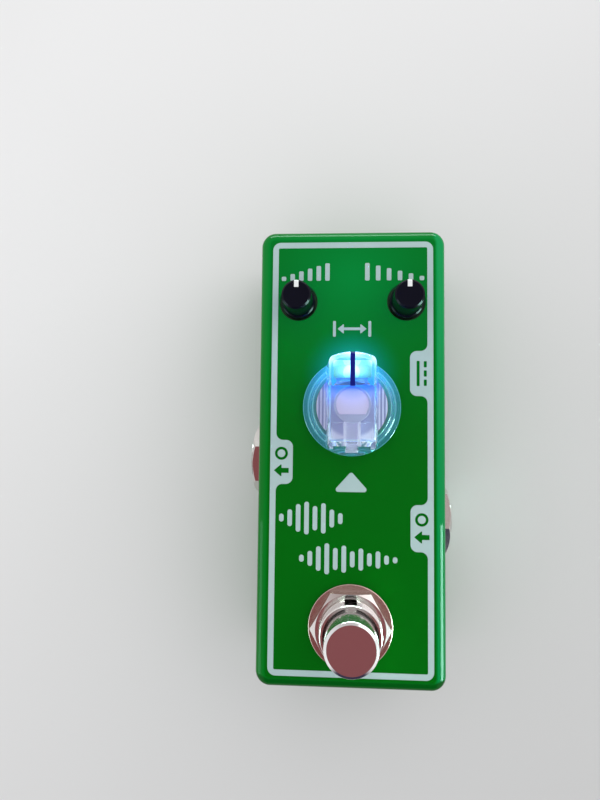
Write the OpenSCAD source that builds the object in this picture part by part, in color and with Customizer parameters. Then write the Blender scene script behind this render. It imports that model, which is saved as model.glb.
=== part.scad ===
// Compact delay pedal: a die-cast box with a clear lit main dial, two small dials, a foot switch,
// a jack on each side and a power inlet. Millimetres, +Z up, +Y towards the small dials.
// The origin lies on the surface that the pedal stands on, under the middle of the box.

/* [Box] */
// Width of the box at its panel
body_w = 38.5; // [37.5:0.5:42]
// Length of the box at its panel
body_l = 94; // [92:0.5:104]
// Height of the box from its rim to its panel
body_h = 31; // [30:0.5:36]
// Slope of the cast walls in degrees
draft_angle = 0.7; // [0.2:0.1:1.5]
// Radius of the upright corners at the panel
corner_r = 3; // [2.6:0.1:4]
// Rounding of the edge round the panel
edge_r = 2.3; // [0.8:0.1:2.4]
// Thickness of the side walls
wall_t = 2; // [1.6:0.1:2.4]
// Thickness of the panel
panel_t = 2.4; // [2:0.1:3]
// Width of the rim round the base plate
rim_w = 1.2; // [0.8:0.1:1.4]

/* [Base] */
// Thickness of the base plate
plate_t = 1.6; // [1.4:0.1:2]
// Thickness of the rubber pad
pad_t = 1.2; // [0.8:0.1:3]
// Width of the rubber pad
pad_w = 30; // [20:1:34]
// Length of the rubber pad
pad_l = 74; // [50:1:76]
// Corner radius of the rubber pad
pad_r = 4; // [1:0.5:8]
// Distance of each screw from the two sides nearest to it, at the panel
screw_inset = 4.3; // [4:0.1:5]
// Diameter of a screw's shank
screw_d = 2.5; // [2:0.1:3]
// Diameter of a screw's head
screw_head_d = 5.4; // [4.8:0.1:6]
// Length of a screw with its head
screw_l = 8; // [6:0.5:12]
// Diameter of a screw post
post_d = 6.6; // [6:0.1:7.4]

/* [Small dials] */
// Distance of each small dial from the side nearest to it
small_side = 8.05; // [7.65:0.05:9.75]
// Distance of the small dials from the far end
small_inset = 15.2; // [14.6:0.1:17]
// Diameter of the holes that the small dials stand in
small_hole_d = 8; // [7.6:0.1:8.6]
// Diameter of a small dial's foot
small_foot_d = 6.9; // [6.2:0.1:7.2]
// Diameter of a small dial's top
small_top_d = 5.9; // [5:0.1:6.1]
// Height of a small dial above the panel
small_h = 7; // [5:0.1:10]
// Diameter of a small dial's shaft
small_shaft_d = 4; // [3:0.1:4.2]

/* [Main dial] */
// Distance of the main dial from the middle of the box, towards the small dials
main_y = 9.7; // [8.5:0.1:11]
// Diameter of the main dial's skirt
skirt_d = 19.8; // [19.2:0.1:21]
// Thickness of the skirt's rim
skirt_t = 1.6; // [1:0.1:2]
// Diameter of the drum at its top
drum_d = 15.6; // [13:0.1:16.4]
// Height of the drum's top above the panel
drum_h = 5; // [4.6:0.1:6]
// Height of the main dial above the panel
main_h = 12.6; // [11.6:0.1:16]
// Width of the grip bar at its foot
bar_w = 10.8; // [10:0.1:11.4]
// Width of the grip bar at its top
bar_top_w = 8.8; // [8.4:0.1:9.4]
// Reach of the grip bar's flat top behind the axis
bar_back = 6.9; // [6.4:0.1:8]
// Rounding of the grip bar's corners at its nose
nose_r = 1.3; // [0.8:0.1:1.8]
// Width of the index line
index_w = 1.1; // [0.6:0.1:1.6]
// Distance from the axis to the inner end of the index line
index_in = 3.4; // [1:0.1:5]
// Diameter of the main dial's shaft
main_shaft_d = 6; // [4:0.1:6.3]

/* [Lamp] */
// Diameter of the lamp
lamp_d = 3; // [2.5:0.1:3.2]
// Distance of the lamp from the main dial's axis
lamp_offset = 7.2; // [7.2:0.1:7.4]
// Height of the lamp above the panel
lamp_h = 1.4; // [0.6:0.1:2]

/* [Foot switch] */
// Distance of the foot switch from the near end
switch_inset = 12.7; // [12:0.1:15]
// Diameter of the threaded bush
bush_d = 12; // [11.8:0.1:12.4]
// Height of the bush above the panel
bush_h = 7.8; // [6:0.1:9]
// Diameter of the plunger
plunger_d = 10; // [8.6:0.1:10.2]
// Height of the plunger above the panel
plunger_h = 15.5; // [13:0.1:18]
// Travel of the plunger
plunger_travel = 3.2; // [1:0.1:3.4]
// Size of the nuts across their flats
switch_nut_af = 14; // [13.5:0.1:16]
// Thickness of the nuts
switch_nut_t = 2.5; // [2:0.1:3]
// Diameter of the washer
switch_washer_d = 17; // [16:0.1:19]
// Thickness of the washer
switch_washer_t = 0.8; // [0.4:0.1:1]
// Width of the switch body across the box
switch_w = 17; // [16:0.1:18]
// Length of the switch body along the box
switch_l = 17.4; // [16:0.1:18]
// Height of the switch body
switch_h = 10.5; // [9.5:0.1:12]

/* [Jacks] */
// Gap between the foot switch's board and the input jack
jack_switch_gap = 2.25; // [1.6:0.05:2.4]
// Gap between the bodies of the two jacks
jack_gap = 1; // [0.6:0.1:1.4]
// Diameter of the plug that a jack takes
plug_d = 6.35; // [6.2:0.05:6.5]
// Depth that a plug reaches into a jack
plug_l = 31.5; // [30:0.5:33]
// Diameter of a jack's threaded bush
jack_bush_d = 9.5; // [8.8:0.1:10]
// Size of a jack's nut across its flats
jack_nut_af = 13.5; // [12.5:0.1:14.5]
// Thickness of a jack's nut
jack_nut_t = 2; // [1.6:0.1:3]
// Diameter of a jack's washer
jack_washer_d = 14; // [12:0.1:15]
// Thickness of a jack's washer
jack_washer_t = 0.5; // [0.3:0.1:0.8]
// Width of a jack's body along the box
jack_w = 12; // [11:0.1:12.2]
// Height of a jack's body
jack_h = 12.4; // [11:0.1:13]

/* [Power inlet] */
// Distance of the power inlet from the middle of the box, towards the small dials
inlet_y = 16.8; // [15.5:0.1:18]
// Diameter of the inlet's round nose
inlet_nose_d = 10.6; // [9.5:0.1:11.4]
// Diameter of the socket in the inlet
inlet_bore_d = 6.3; // [5.8:0.1:6.6]
// Diameter of the inlet's pin
inlet_pin_d = 2.1; // [1.6:0.1:2.5]
// Length of the inlet's pin
inlet_pin_l = 8; // [6:0.1:9]
// Width of the inlet's body along the box
inlet_w = 9; // [8.6:0.1:10]
// Length of the inlet's body across the box
inlet_l = 12.5; // [11.5:0.1:13]

/* [Boards] */
// Thickness of the circuit boards
board_t = 1.6; // [1:0.1:2]
// Height of a control's case
pot_h = 6.5; // [5.5:0.1:7]
// Width of a control's case
pot_w = 9.6; // [9:0.1:10]
// Length of a control's case
pot_l = 11; // [10:0.1:11.4]

/* [Hidden] */
$fn = 96;

// Clearances: a turning or sliding fit, a piece dropped into its seat, a piece through a hole, a free gap
run_fit = 0.05;
seat_fit = 0.15;
hole_fit = 0.15;
free_gap = 0.5;
// How far a cut runs past the face that it opens
past = 1;
// A nut's crown and its reach as shares of its size across flats, and the slope of its turned corners
crown_share = 0.488;
nut_reach_share = 0.62;
crown_angle = 30;
// Diameter of a solder pin and of its hole, and its reach past the board
pin_d = 0.8;
pin_hole_d = pin_d + 2 * hole_fit;
pin_reach = 1;

// Levels: the rim and the base plate's underside, the base plate's top, the panel and its underside
rim_z = pad_t;
plate_top_z = rim_z + plate_t;
panel_z = rim_z + body_h;
ceiling_z = panel_z - panel_t;
// The controls hang this far below the panel, and the main board carries them
pot_gap = 0.3;
pot_top_z = ceiling_z - pot_gap;
board_top_z = pot_top_z - pot_h;
board_z = board_top_z - board_t;

// Box: its walls lean by this much for each millimetre of height
lean = tan(draft_angle);
core_w = body_w - 2 * corner_r;
core_l = body_l - 2 * corner_r;
rim_r = corner_r + body_h * lean;
// Half the width of the box at a height, outside and inside
function outside_x(z) = body_w / 2 + (panel_z - z) * lean;
function inside_x(z) = outside_x(z) - wall_t;

// Screws and their posts
screw_x = body_w / 2 - screw_inset;
screw_y = body_l / 2 - screw_inset;
screw_hole_d = screw_d + 2 * run_fit;
// A head's cone rises at 45 degrees, and its crossed slot has this width, span and depth
screw_head_h = (screw_head_d - screw_d) / 2;
cross_w = 0.8;
cross_l = 3;
cross_depth = 0.7;

// Small dials: sunk foot, shoulder, edge chamfers, bore and index
small_x = body_w / 2 - small_side;
small_y = body_l / 2 - small_inset;
small_sink = 1.2;
small_shoulder_h = 0.8;
small_shoulder_w = 0.25;
small_chamfer = 0.35;
small_roof = 1.6;
small_index_w = 0.9;
small_index_l = 1.5;
small_index_drop = 2.4;
small_index_depth = 0.5;
small_collar_d = 5.6;
small_collar_h = 0.8;
small_foot_z = panel_z - small_sink;
small_top_z = panel_z + small_h;

// Main dial: running gaps over the panel, the lamp and the control's neck, walls, pockets and index depth
skirt_gap = 0.8;
lamp_gap = 0.4;
neck_gap = 0.3;
neck_h = 3;
skirt_z = panel_z + skirt_gap;
skirt_r = skirt_d / 2;
skirt_wall = 1;
skirt_hollow_z = panel_z + lamp_h + lamp_gap;
drum_wall = 0.6;
hollow_z = panel_z + neck_h + neck_gap;
drum_foot_inset = 1.2;
drum_foot_r = skirt_r - drum_foot_inset;
skirt_edge = 0.3;
main_top_z = panel_z + main_h;
main_roof = 1.7;
bar_chamfer = 0.6;
index_depth = 0.6;
pocket_w = 7.2;
pocket_in = 5;
pocket_out = 8.3;
rib_w = 2;
back_pocket_in = 3.2;
back_pocket_out = 7;
back_pocket_h = 8;
// The pale core in the main dial: its hub's wall, flange, ribs and the walls left round the pockets
core_hub_wall = 0.45;
core_hub_d = main_shaft_d + 2 * core_hub_wall;
core_flange_t = 0.6;
core_rib_h = 0.4;
core_rib_w = 0.35;
core_rib_pitch = 0.7;
core_ribs = 4;
core_tail_w = 2.6;
core_tail_inset = 1.3;
core_fin_t = 0.5;
core_fin_gap = 0.1;
core_fin_inset = 0.6;
core_fin_drop = 0.3;
core_r = drum_d / 2 - drum_wall;
core_side_wall = 0.6;
core_end_wall = 1;

// Main control: threaded neck, washer and nut on the panel
neck_wall = 0.5;
neck_d = main_shaft_d + 2 * neck_wall;
neck_hole_d = neck_d + 2 * hole_fit;
pot_washer_d = 10.8;
pot_washer_t = 0.5;
pot_nut_af = 10;
pot_nut_t = 2;

// Controls: distances from the shaft to the case's far and near sides, floor, rotor and solder pins
pot_rear = 5;
pot_front = pot_l - pot_rear;
pot_floor = 0.8;
rotor_d = 7.6;
rotor_t = 1.6;
rotor_gap = 0.2;
pot_pin_y = -4.4;
pot_pin_pitch = 2.5;
// A shaft's flat takes this share of its diameter
flat_share = 0.2;

// Lamp: base flange, length and leads
lamp_y = main_y + lamp_offset;
lamp_top_z = panel_z + lamp_h;
lamp_flange_w = 0.35;
lamp_flange_d = lamp_d + 2 * lamp_flange_w;
lamp_flange_t = 0.9;
lamp_z = ceiling_z - lamp_flange_t - pot_gap;
lead_d = 0.5;
lead_pitch = 2.54;

// Foot switch, from the panel down
switch_y = switch_inset - body_l / 2;
bush_top_z = panel_z + bush_h;
bush_bore_d = plunger_d + 4 * run_fit;
bush_chamfer = 0.4;
bush_floor = 1.2;
frame_t = 1;
frame_top_z = ceiling_z - switch_nut_t;
frame_z = frame_top_z - frame_t;
bush_floor_z = frame_top_z + bush_floor;
switch_body_z = frame_z - switch_h;
keyway_w = 2.4;
keyway_in = 4.9;
plunger_top_z = panel_z + plunger_h;
plunger_chamfer = 0.65;
plunger_sunk = 5;
head_z = bush_top_z - plunger_sunk;
stem_d = 5;
stem_hole_d = stem_d + 2 * hole_fit;
collar_d = 7;
collar_t = 1.2;
collar_top_z = frame_z - run_fit;
well_d = collar_d + 2 * free_gap;
well_z = collar_top_z - collar_t - plunger_travel - free_gap;
frame_lip = 3;
lug_w = 2.2;
lug_t = 0.8;
lug_l = 4.2;
lug_pitch_x = 5.2;
lug_pitch_y = 4.8;
switch_board_drop = 1.8;
switch_board_top_z = switch_body_z - switch_board_drop;
switch_board_reach = 2.8;
// Spring under the plunger: mean radius, wire radius, turns, rings in a turn and sides of the wire
coil_r = 3.7;
wire_r = 0.35;
coil_turns = 3.5;
coil_rings = 12;
wire_sides = 6;
// Flat cable from the switch's board up to the main board: wires, their diameter and pitch
cable_wires = 6;
cable_wire_d = 1.1;
cable_pitch = 1.27;
cable_gap = 2;
cable_y = switch_y + switch_l / 2 + cable_gap;

// Jacks: they follow the foot switch's board along the box and hang under the main board, and their
// washers seat on the sloping walls
input_y = switch_y + switch_l / 2 + switch_board_reach + jack_switch_gap + jack_w / 2;
output_y = input_y + jack_w + jack_gap;
jack_drop = 1.7;
jack_z = board_z - jack_drop - jack_h / 2;
jack_seat_x = outside_x(jack_z - jack_washer_d / 2);
jack_front = jack_seat_x - inside_x(jack_z + jack_h / 2) + seat_fit;
plug_fit = 0.025;
jack_bore_d = plug_d + 2 * plug_fit;
jack_hole_d = jack_bush_d + 2 * hole_fit;
jack_bush_reach = 0.4;
// How far each nut is turned from flat side up when tight
output_nut_turn = 7;
input_nut_turn = -14;
jack_end = jack_washer_t + jack_nut_t + jack_bush_reach;
jack_floor = jack_end - plug_l;
jack_back_t = 1;
jack_back = jack_floor - jack_back_t;
// Contact slot in a jack's body, contact strip, and the places of the solder pins behind the seat
contact_w = 3;
contact_l = 12;
contact_t = 0.5;
contact_fit = 0.1;
jack_pins = [-6.5, -27.5];
jack_pin_y = 4.6;

// Power inlet: it hangs under the power board
header_h = 2.5;
power_board_z = board_z - header_h - board_t;
inlet_up = 6.5;
inlet_down = 4.4;
inlet_z = power_board_z - inlet_up;
inlet_seat_x = outside_x(inlet_z + inlet_nose_d / 2);
inlet_front = inlet_seat_x - inside_x(inlet_z + inlet_up) + seat_fit;
inlet_recess = 0.3;
inlet_depth = 10;
inlet_floor = -inlet_recess - inlet_depth;
inlet_back = -inlet_front - inlet_l;
inlet_root_w = 0.4;
inlet_root_d = inlet_pin_d + 2 * inlet_root_w;
inlet_slot_w = 2;
inlet_slot_l = 7;
inlet_pins = [-5.5, -12];

// Boards
board_gap = 0.8;
board_x = inside_x(board_top_z) - board_gap;
board_switch_gap = 1;
board_near_y = switch_y + switch_l / 2 + board_switch_gap;
board_far_y = screw_y - post_d / 2 - free_gap;
board_corner = 2;
power_board_x = inside_x(power_board_z + board_t) - board_gap;
power_board_w = 13.5;
power_board_l = 14;
header_pins = 5;
header_pitch = 2.54;
header_edge = 2.2;
header_x = power_board_x - power_board_w + header_edge;
header_w = 2.4;
header_pin_d = 0.64;

// Chips on the main board, over the input jack and in front of the main control: sizes, legs and lift
chip_y = input_y;
chip_size = [10.3, 7.5, 2.4];
chip_legs = 8;
leg_w = 0.42;
leg_pitch = 1.27;
leg_reach = 1.3;
leg_t = 0.25;
chip_lift = 0.2;
amplifier_size = [5, 3.9, 1.6];
amplifier_legs = 4;
amplifier_gap = 1.2;
amplifier_y = main_y - pot_front - amplifier_gap - leg_reach - amplifier_size.y / 2;

// Small parts on the main board: capacitors along its sides, the regulator behind them, and resistors
// between the small controls and at the near end
side_gap = 1.5;
capacitor_d = 5;
capacitor_h = 5.4;
capacitor_foot = [5.3, 5.3, 0.8];
capacitor_x = board_x - side_gap - capacitor_foot.x / 2;
capacitor_step = 9.5;
capacitor_spots = [
    [-capacitor_x, input_y], [capacitor_x, output_y],
    [-capacitor_x, output_y + capacitor_step], [capacitor_x, output_y + capacitor_step]
];
regulator_size = [4.5, 2.5, 1.5];
regulator_tab = [1.8, 1.2, 0.4];
regulator_gap = 8;
regulator_spot = [-capacitor_x, main_y + regulator_gap];
resistor_size = [2, 1.25, 0.5];
resistor_x = small_x - pot_w / 2 - free_gap - resistor_size.x / 2;
resistor_step = 2.5;
resistor_near_pitch = 4.6;
resistor_near_gap = 2.2;
resistor_near_y = board_near_y + resistor_near_gap;

// Shared shapes

// A box with rounded upright corners, swept from the profile given: x is the distance from a corner's
// axis and y the height. The profile runs round a core rectangle of the given size and height.
module swept_box(core_x, core_y, h) {
    translate([-core_x / 2, -core_y / 2, 0]) cube([core_x, core_y, h]);
    for (turn = [0, 180]) rotate([0, 0, turn]) {
        translate([core_x / 2, core_y / 2, 0]) rotate([90, 0, 0]) linear_extrude(core_y) children();
        rotate([0, 0, 90])
            translate([core_y / 2, core_x / 2, 0]) rotate([90, 0, 0]) linear_extrude(core_x) children();
        translate([core_x / 2, core_y / 2, 0]) rotate_extrude(angle = 90) children();
        translate([-core_x / 2, core_y / 2, 0]) rotate([0, 0, 90]) rotate_extrude(angle = 90) children();
    }
}

// A flat plate with rounded corners
module round_plate(core_x, core_y, r, h) {
    swept_box(core_x, core_y, h) square([r, h]);
}

// A wall's profile: it leans in from foot_r, and a quarter circle of radius round_r leads into its top
module wall_profile(foot_r, h, round_r) {
    fillet_y = h - round_r;
    fillet_x = foot_r - fillet_y * lean - round_r;
    edge_x = fillet_x + round_r;
    difference() {
        polygon([[0, 0], [foot_r, 0], [edge_x, fillet_y], [edge_x, h], [0, h]]);
        translate([fillet_x, fillet_y]) difference() {
            square([2 * round_r, 2 * round_r]);
            circle(r = round_r);
        }
    }
}

// A ring that stands on z = 0
module ring(outer_d, inner_d, h) {
    rotate_extrude() translate([inner_d / 2, 0]) square([(outer_d - inner_d) / 2, h]);
}

// A hexagonal nut on z = 0, with its top corners turned down
module hex_nut(af, bore_d, t) {
    crown_r = crown_share * af;
    rim = nut_reach_share * af;
    difference() {
        intersection() {
            cylinder(d = af / cos(30), h = t, $fn = 6);
            rotate_extrude() polygon([
                [0, 0], [rim, 0], [rim, t - (rim - crown_r) * tan(crown_angle)], [crown_r, t], [0, t]
            ]);
        }
        translate([0, 0, -past]) cylinder(d = bore_d, h = t + 2 * past);
    }
}

// The four corners where the screws are
module at_screws() {
    for (side = [-1, 1], end = [-1, 1]) translate([side * screw_x, end * screw_y, 0]) children();
}

// A place on the right or left wall, with +Z out of the box and -X up
module on_right(seat, y, z) {
    translate([seat, y, z]) rotate([0, 90, 0]) children();
}

module on_left(seat, y, z) {
    mirror([1, 0, 0]) on_right(seat, y, z) children();
}

// The places of the solder pins of the three controls, the two jacks, the lamp and the header
module at_pot_pins(x, y) {
    for (k = [-1, 0, 1]) translate([x + k * pot_pin_pitch, y + pot_pin_y, 0]) children();
}

module at_jack_pins() {
    for (back = jack_pins, side = [-1, 1]) {
        translate([jack_seat_x + back, input_y + side * jack_pin_y, 0]) children();
        translate([-jack_seat_x - back, output_y + side * jack_pin_y, 0]) children();
    }
}

module at_leads() {
    for (side = [-1, 1]) translate([side * lead_pitch / 2, lamp_y, 0]) children();
}

module at_header_pins() {
    for (k = [0 : header_pins - 1])
        translate([header_x, inlet_y + (k - (header_pins - 1) / 2) * header_pitch, 0]) children();
}

module at_inlet_pins() {
    for (back = inlet_pins) translate([inlet_seat_x + back, inlet_y, 0]) children();
}

module at_lugs() {
    for (i = [-1, 0, 1], j = [-1, 0, 1])
        translate([i * lug_pitch_x, switch_y + j * lug_pitch_y, 0]) children();
}

// Box and base

module box_holes() {
    drill_l = panel_t + 2 * past;
    for (side = [-1, 1])
        translate([side * small_x, small_y, ceiling_z - past]) cylinder(d = small_hole_d, h = drill_l);
    translate([0, main_y, ceiling_z - past]) cylinder(d = neck_hole_d, h = drill_l);
    translate([0, lamp_y, ceiling_z - past]) cylinder(d = lamp_d + 2 * hole_fit, h = drill_l);
    translate([0, switch_y, ceiling_z - past]) cylinder(d = bush_d + 2 * hole_fit, h = drill_l);
    side_l = 2 * wall_t + 2 * past;
    on_right(jack_seat_x, input_y, jack_z) translate([0, 0, past - side_l])
        cylinder(d = jack_hole_d, h = side_l);
    on_left(jack_seat_x, output_y, jack_z) translate([0, 0, past - side_l])
        cylinder(d = jack_hole_d, h = side_l);
    on_right(inlet_seat_x, inlet_y, inlet_z) translate([0, 0, past - side_l])
        cylinder(d = inlet_nose_d + 2 * hole_fit, h = side_l);
}

module enclosure() {
    cavity_h = body_h - panel_t;
    cavity_foot_r = rim_r - wall_t;
    cavity_top_r = cavity_foot_r - cavity_h * lean;
    post_h = panel_z - plate_top_z - panel_t / 2;
    color("#0b7a2e") difference() {
        union() {
            translate([0, 0, rim_z]) difference() {
                swept_box(core_w, core_l, body_h) wall_profile(rim_r, body_h, edge_r);
                swept_box(core_w, core_l, cavity_h)
                    polygon([[0, 0], [cavity_foot_r, 0], [cavity_top_r, cavity_h], [0, cavity_h]]);
            }
            at_screws() translate([0, 0, plate_top_z]) cylinder(d = post_d, h = post_h);
        }
        translate([0, 0, rim_z - past]) round_plate(core_w, core_l, rim_r - rim_w, plate_t + past);
        at_screws() translate([0, 0, rim_z]) cylinder(d = screw_hole_d, h = screw_l + past);
        box_holes();
    }
}

module base_plate() {
    color("#3a3d40") difference() {
        translate([0, 0, rim_z]) round_plate(core_w, core_l, rim_r - rim_w - seat_fit, plate_t);
        at_screws() {
            translate([0, 0, rim_z - past]) cylinder(d = screw_d + 2 * hole_fit, h = plate_t + 2 * past);
            sink_d = screw_head_d + 2 * hole_fit;
            translate([0, 0, rim_z]) cylinder(d1 = sink_d, d2 = sink_d - 2 * screw_head_h, h = screw_head_h);
        }
    }
}

module base_screws() {
    color("#8d9094") at_screws() translate([0, 0, rim_z]) difference() {
        union() {
            cylinder(d1 = screw_head_d, d2 = screw_d, h = screw_head_h);
            cylinder(d = screw_d, h = screw_l);
        }
        for (turn = [0, 90]) rotate([0, 0, turn])
            translate([-cross_l / 2, -cross_w / 2, -past]) cube([cross_l, cross_w, cross_depth + past]);
    }
}

module rubber_pad() {
    color("#1c1c1e") round_plate(pad_w - 2 * pad_r, pad_l - 2 * pad_r, pad_r, pad_t);
}

// Controls

module pot_case(x, y, shaft_d, neck_w, neck_top_z) {
    translate([x, y, 0]) difference() {
        union() {
            translate([-pot_w / 2, -pot_front, board_top_z]) cube([pot_w, pot_l, pot_h]);
            translate([0, 0, pot_top_z - past]) cylinder(d = neck_w, h = neck_top_z - pot_top_z + past);
            at_pot_pins(0, 0) translate([0, 0, board_z - pin_reach])
                cylinder(d = pin_d, h = board_t + pin_reach + pot_floor / 2);
        }
        translate([0, 0, board_top_z + pot_floor])
            cylinder(d = rotor_d + 2 * rotor_gap, h = rotor_t + 2 * rotor_gap);
        translate([0, 0, board_top_z + pot_floor + rotor_gap])
            cylinder(d = shaft_d + 2 * run_fit, h = neck_top_z - board_top_z);
    }
}

// A shaft with its rotor, flattened on its near side from flat_z up
module pot_shaft(x, y, d, flat_z, top_z) {
    foot_z = board_top_z + pot_floor + rotor_gap;
    translate([x, y, 0]) difference() {
        union() {
            translate([0, 0, foot_z]) cylinder(d = rotor_d, h = rotor_t);
            translate([0, 0, foot_z]) cylinder(d = d, h = top_z - foot_z);
        }
        translate([-d, -d - d * (0.5 - flat_share), flat_z]) cube([2 * d, d, top_z - flat_z + past]);
    }
}

// The hole in a dial that such a shaft goes into
module shaft_socket(d, foot_z, top_z) {
    socket_d = d + 2 * run_fit;
    difference() {
        translate([0, 0, foot_z - past]) cylinder(d = socket_d, h = top_z - foot_z + past);
        translate([-d, -d - d * (0.5 - flat_share) - run_fit, foot_z - 2 * past])
            cube([2 * d, d, top_z - foot_z + 3 * past]);
    }
}

small_collar_top_z = pot_top_z + small_collar_h;
small_socket_z = small_top_z - small_roof;

module small_knob_form() {
    shoulder_z = panel_z + small_shoulder_h;
    foot_r = small_foot_d / 2;
    top_r = small_top_d / 2;
    rotate_extrude() polygon([
        [0, small_foot_z], [foot_r, small_foot_z], [foot_r, shoulder_z - small_shoulder_w],
        [foot_r - small_shoulder_w, shoulder_z],
        [top_r, small_top_z - small_chamfer], [top_r - small_chamfer, small_top_z], [0, small_top_z]
    ]);
}

// The groove at the far side of a small dial that its index fills
module small_index_zone() {
    top_r = small_top_d / 2;
    groove = small_index_depth;
    translate([-small_index_w / 2, top_r - small_index_l, small_top_z - groove])
        cube([small_index_w, small_index_l + past, groove + past]);
    translate([-small_index_w / 2, top_r - groove, small_top_z - small_index_drop])
        cube([small_index_w, groove + past, small_index_drop + past]);
}

module small_knob(x) {
    color("#16161a") translate([x, small_y, 0]) difference() {
        small_knob_form();
        small_index_zone();
        shaft_socket(small_shaft_d, small_foot_z, small_socket_z);
    }
}

module small_index(x) {
    color("white") translate([x, small_y, 0]) intersection() {
        small_knob_form();
        small_index_zone();
    }
}

module small_shaft(x) {
    color("#c9c9c4") pot_shaft(x, small_y, small_shaft_d, small_foot_z, small_socket_z - run_fit);
}

module small_pot(x) {
    color("#3c6a4a") pot_case(x, small_y, small_shaft_d, small_collar_d, small_collar_top_z);
}

module level_knob() { small_knob(-small_x); }
module level_index() { small_index(-small_x); }
module level_shaft() { small_shaft(-small_x); }
module level_pot() { small_pot(-small_x); }
module repeat_knob() { small_knob(small_x); }
module repeat_index() { small_index(small_x); }
module repeat_shaft() { small_shaft(small_x); }
module repeat_pot() { small_pot(small_x); }

main_socket_z = main_top_z - main_roof;
neck_top_z = panel_z + neck_h;

// What the nose's corners lose: an upright wedge less a round, leaning with the grip bar's side
module nose_corner(foot_z, bar_r) {
    lean_angle = atan((bar_w - bar_top_w) / 2 / (main_top_z - bar_chamfer - foot_z));
    x = bar_w / 2 - nose_r;
    y = sqrt((bar_r - nose_r) ^ 2 - x ^ 2);
    reach = 2 * nose_r;
    h = main_top_z - foot_z + 2 * past;
    translate([x, y, foot_z]) rotate([0, -lean_angle, 0]) translate([0, 0, -past]) difference() {
        linear_extrude(h) polygon([[0, 0], [reach, 0], [reach, reach], [reach * x / y, reach]]);
        translate([0, 0, -past]) cylinder(r = nose_r, h = h + 2 * past);
    }
}

// The main dial's outside: a round skirt and drum, and a grip bar that ends in a nose over the skirt's rim
module main_knob_form() {
    drum_z = panel_z + drum_h;
    rim_top_z = skirt_z + skirt_t;
    rotate_extrude() polygon([
        [0, skirt_z], [skirt_r - skirt_edge, skirt_z], [skirt_r, skirt_z + skirt_edge],
        [skirt_r, rim_top_z - skirt_edge], [skirt_r - skirt_edge, rim_top_z], [drum_foot_r, rim_top_z],
        [drum_d / 2, drum_z], [0, drum_z]
    ]);
    foot_z = skirt_z + skirt_t / 2;
    bar_r = skirt_r - skirt_edge / 2;
    difference() {
        intersection() {
            translate([0, 0, foot_z]) cylinder(r = bar_r, h = main_top_z - foot_z);
            rotate([90, 0, 90]) translate([0, 0, -bar_w]) linear_extrude(2 * bar_w) polygon([
                [bar_r + past, foot_z], [bar_r + past, main_top_z - bar_chamfer - past],
                [bar_r - bar_chamfer, main_top_z],
                [-bar_back, main_top_z], [-bar_r, drum_z - skirt_t], [-bar_r, foot_z]
            ]);
            rotate([90, 0, 0]) translate([0, 0, -2 * skirt_r]) linear_extrude(4 * skirt_r) polygon([
                [-bar_w / 2, foot_z], [bar_w / 2, foot_z], [bar_top_w / 2, main_top_z - bar_chamfer],
                [bar_top_w / 2 - bar_chamfer, main_top_z], [bar_chamfer - bar_top_w / 2, main_top_z],
                [-bar_top_w / 2, main_top_z - bar_chamfer]
            ]);
        }
        nose_corner(foot_z, bar_r);
        mirror([1, 0, 0]) nose_corner(foot_z, bar_r);
    }
}

module main_index_zone() {
    translate([-index_w / 2, index_in, main_top_z - index_depth])
        cube([index_w, skirt_r, index_depth + past]);
}

// The hollows under the skirt and the drum, the light pocket over the lamp, and two pockets behind the shaft
module main_knob_hollows() {
    pocket_z = skirt_hollow_z - past;
    translate([0, 0, skirt_z - past]) cylinder(r = skirt_r - skirt_wall, h = skirt_hollow_z - skirt_z + past);
    translate([0, 0, skirt_z - past]) cylinder(r = drum_d / 2 - drum_wall, h = hollow_z - skirt_z + past);
    translate([-pocket_w / 2, pocket_in, pocket_z])
        cube([pocket_w, pocket_out - pocket_in, main_socket_z - pocket_z]);
    back_w = (pocket_w - rib_w) / 2;
    for (side = [-1, 1])
        translate([side * (rib_w + back_w) / 2 - back_w / 2, -back_pocket_out, pocket_z])
            cube([back_w, back_pocket_out - back_pocket_in, panel_z + back_pocket_h - pocket_z]);
}

// The core's hub, its flange less a window round the light pocket, whose walls are thinner by fit, its tail
module core_form(hub_d, flange_r, flange_t, foot_z, top_z, fit) {
    window_w = pocket_w + 2 * core_side_wall - 2 * fit;
    tail_w = core_tail_w + 2 * fit;
    tail_l = skirt_r - core_tail_inset + fit;
    translate([0, 0, foot_z]) {
        cylinder(d = hub_d, h = top_z - foot_z);
        difference() {
            cylinder(r = flange_r, h = flange_t);
            translate([-window_w / 2, pocket_in - core_end_wall + fit, -past])
                cube([window_w, flange_r, flange_t + 2 * past]);
        }
        translate([-tail_w / 2, -tail_l, 0]) cube([tail_w, tail_l, flange_t]);
    }
}

module time_knob() {
    room_z = skirt_z - past;
    room_h = hollow_z + core_flange_t + core_rib_h + run_fit - room_z;
    color([0.86, 0.9, 0.98, 0.55]) translate([0, main_y, 0]) difference() {
        main_knob_form();
        main_knob_hollows();
        main_index_zone();
        core_form(core_hub_d + 2 * run_fit, core_r, room_h, room_z, main_socket_z, 0);
    }
}

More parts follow.
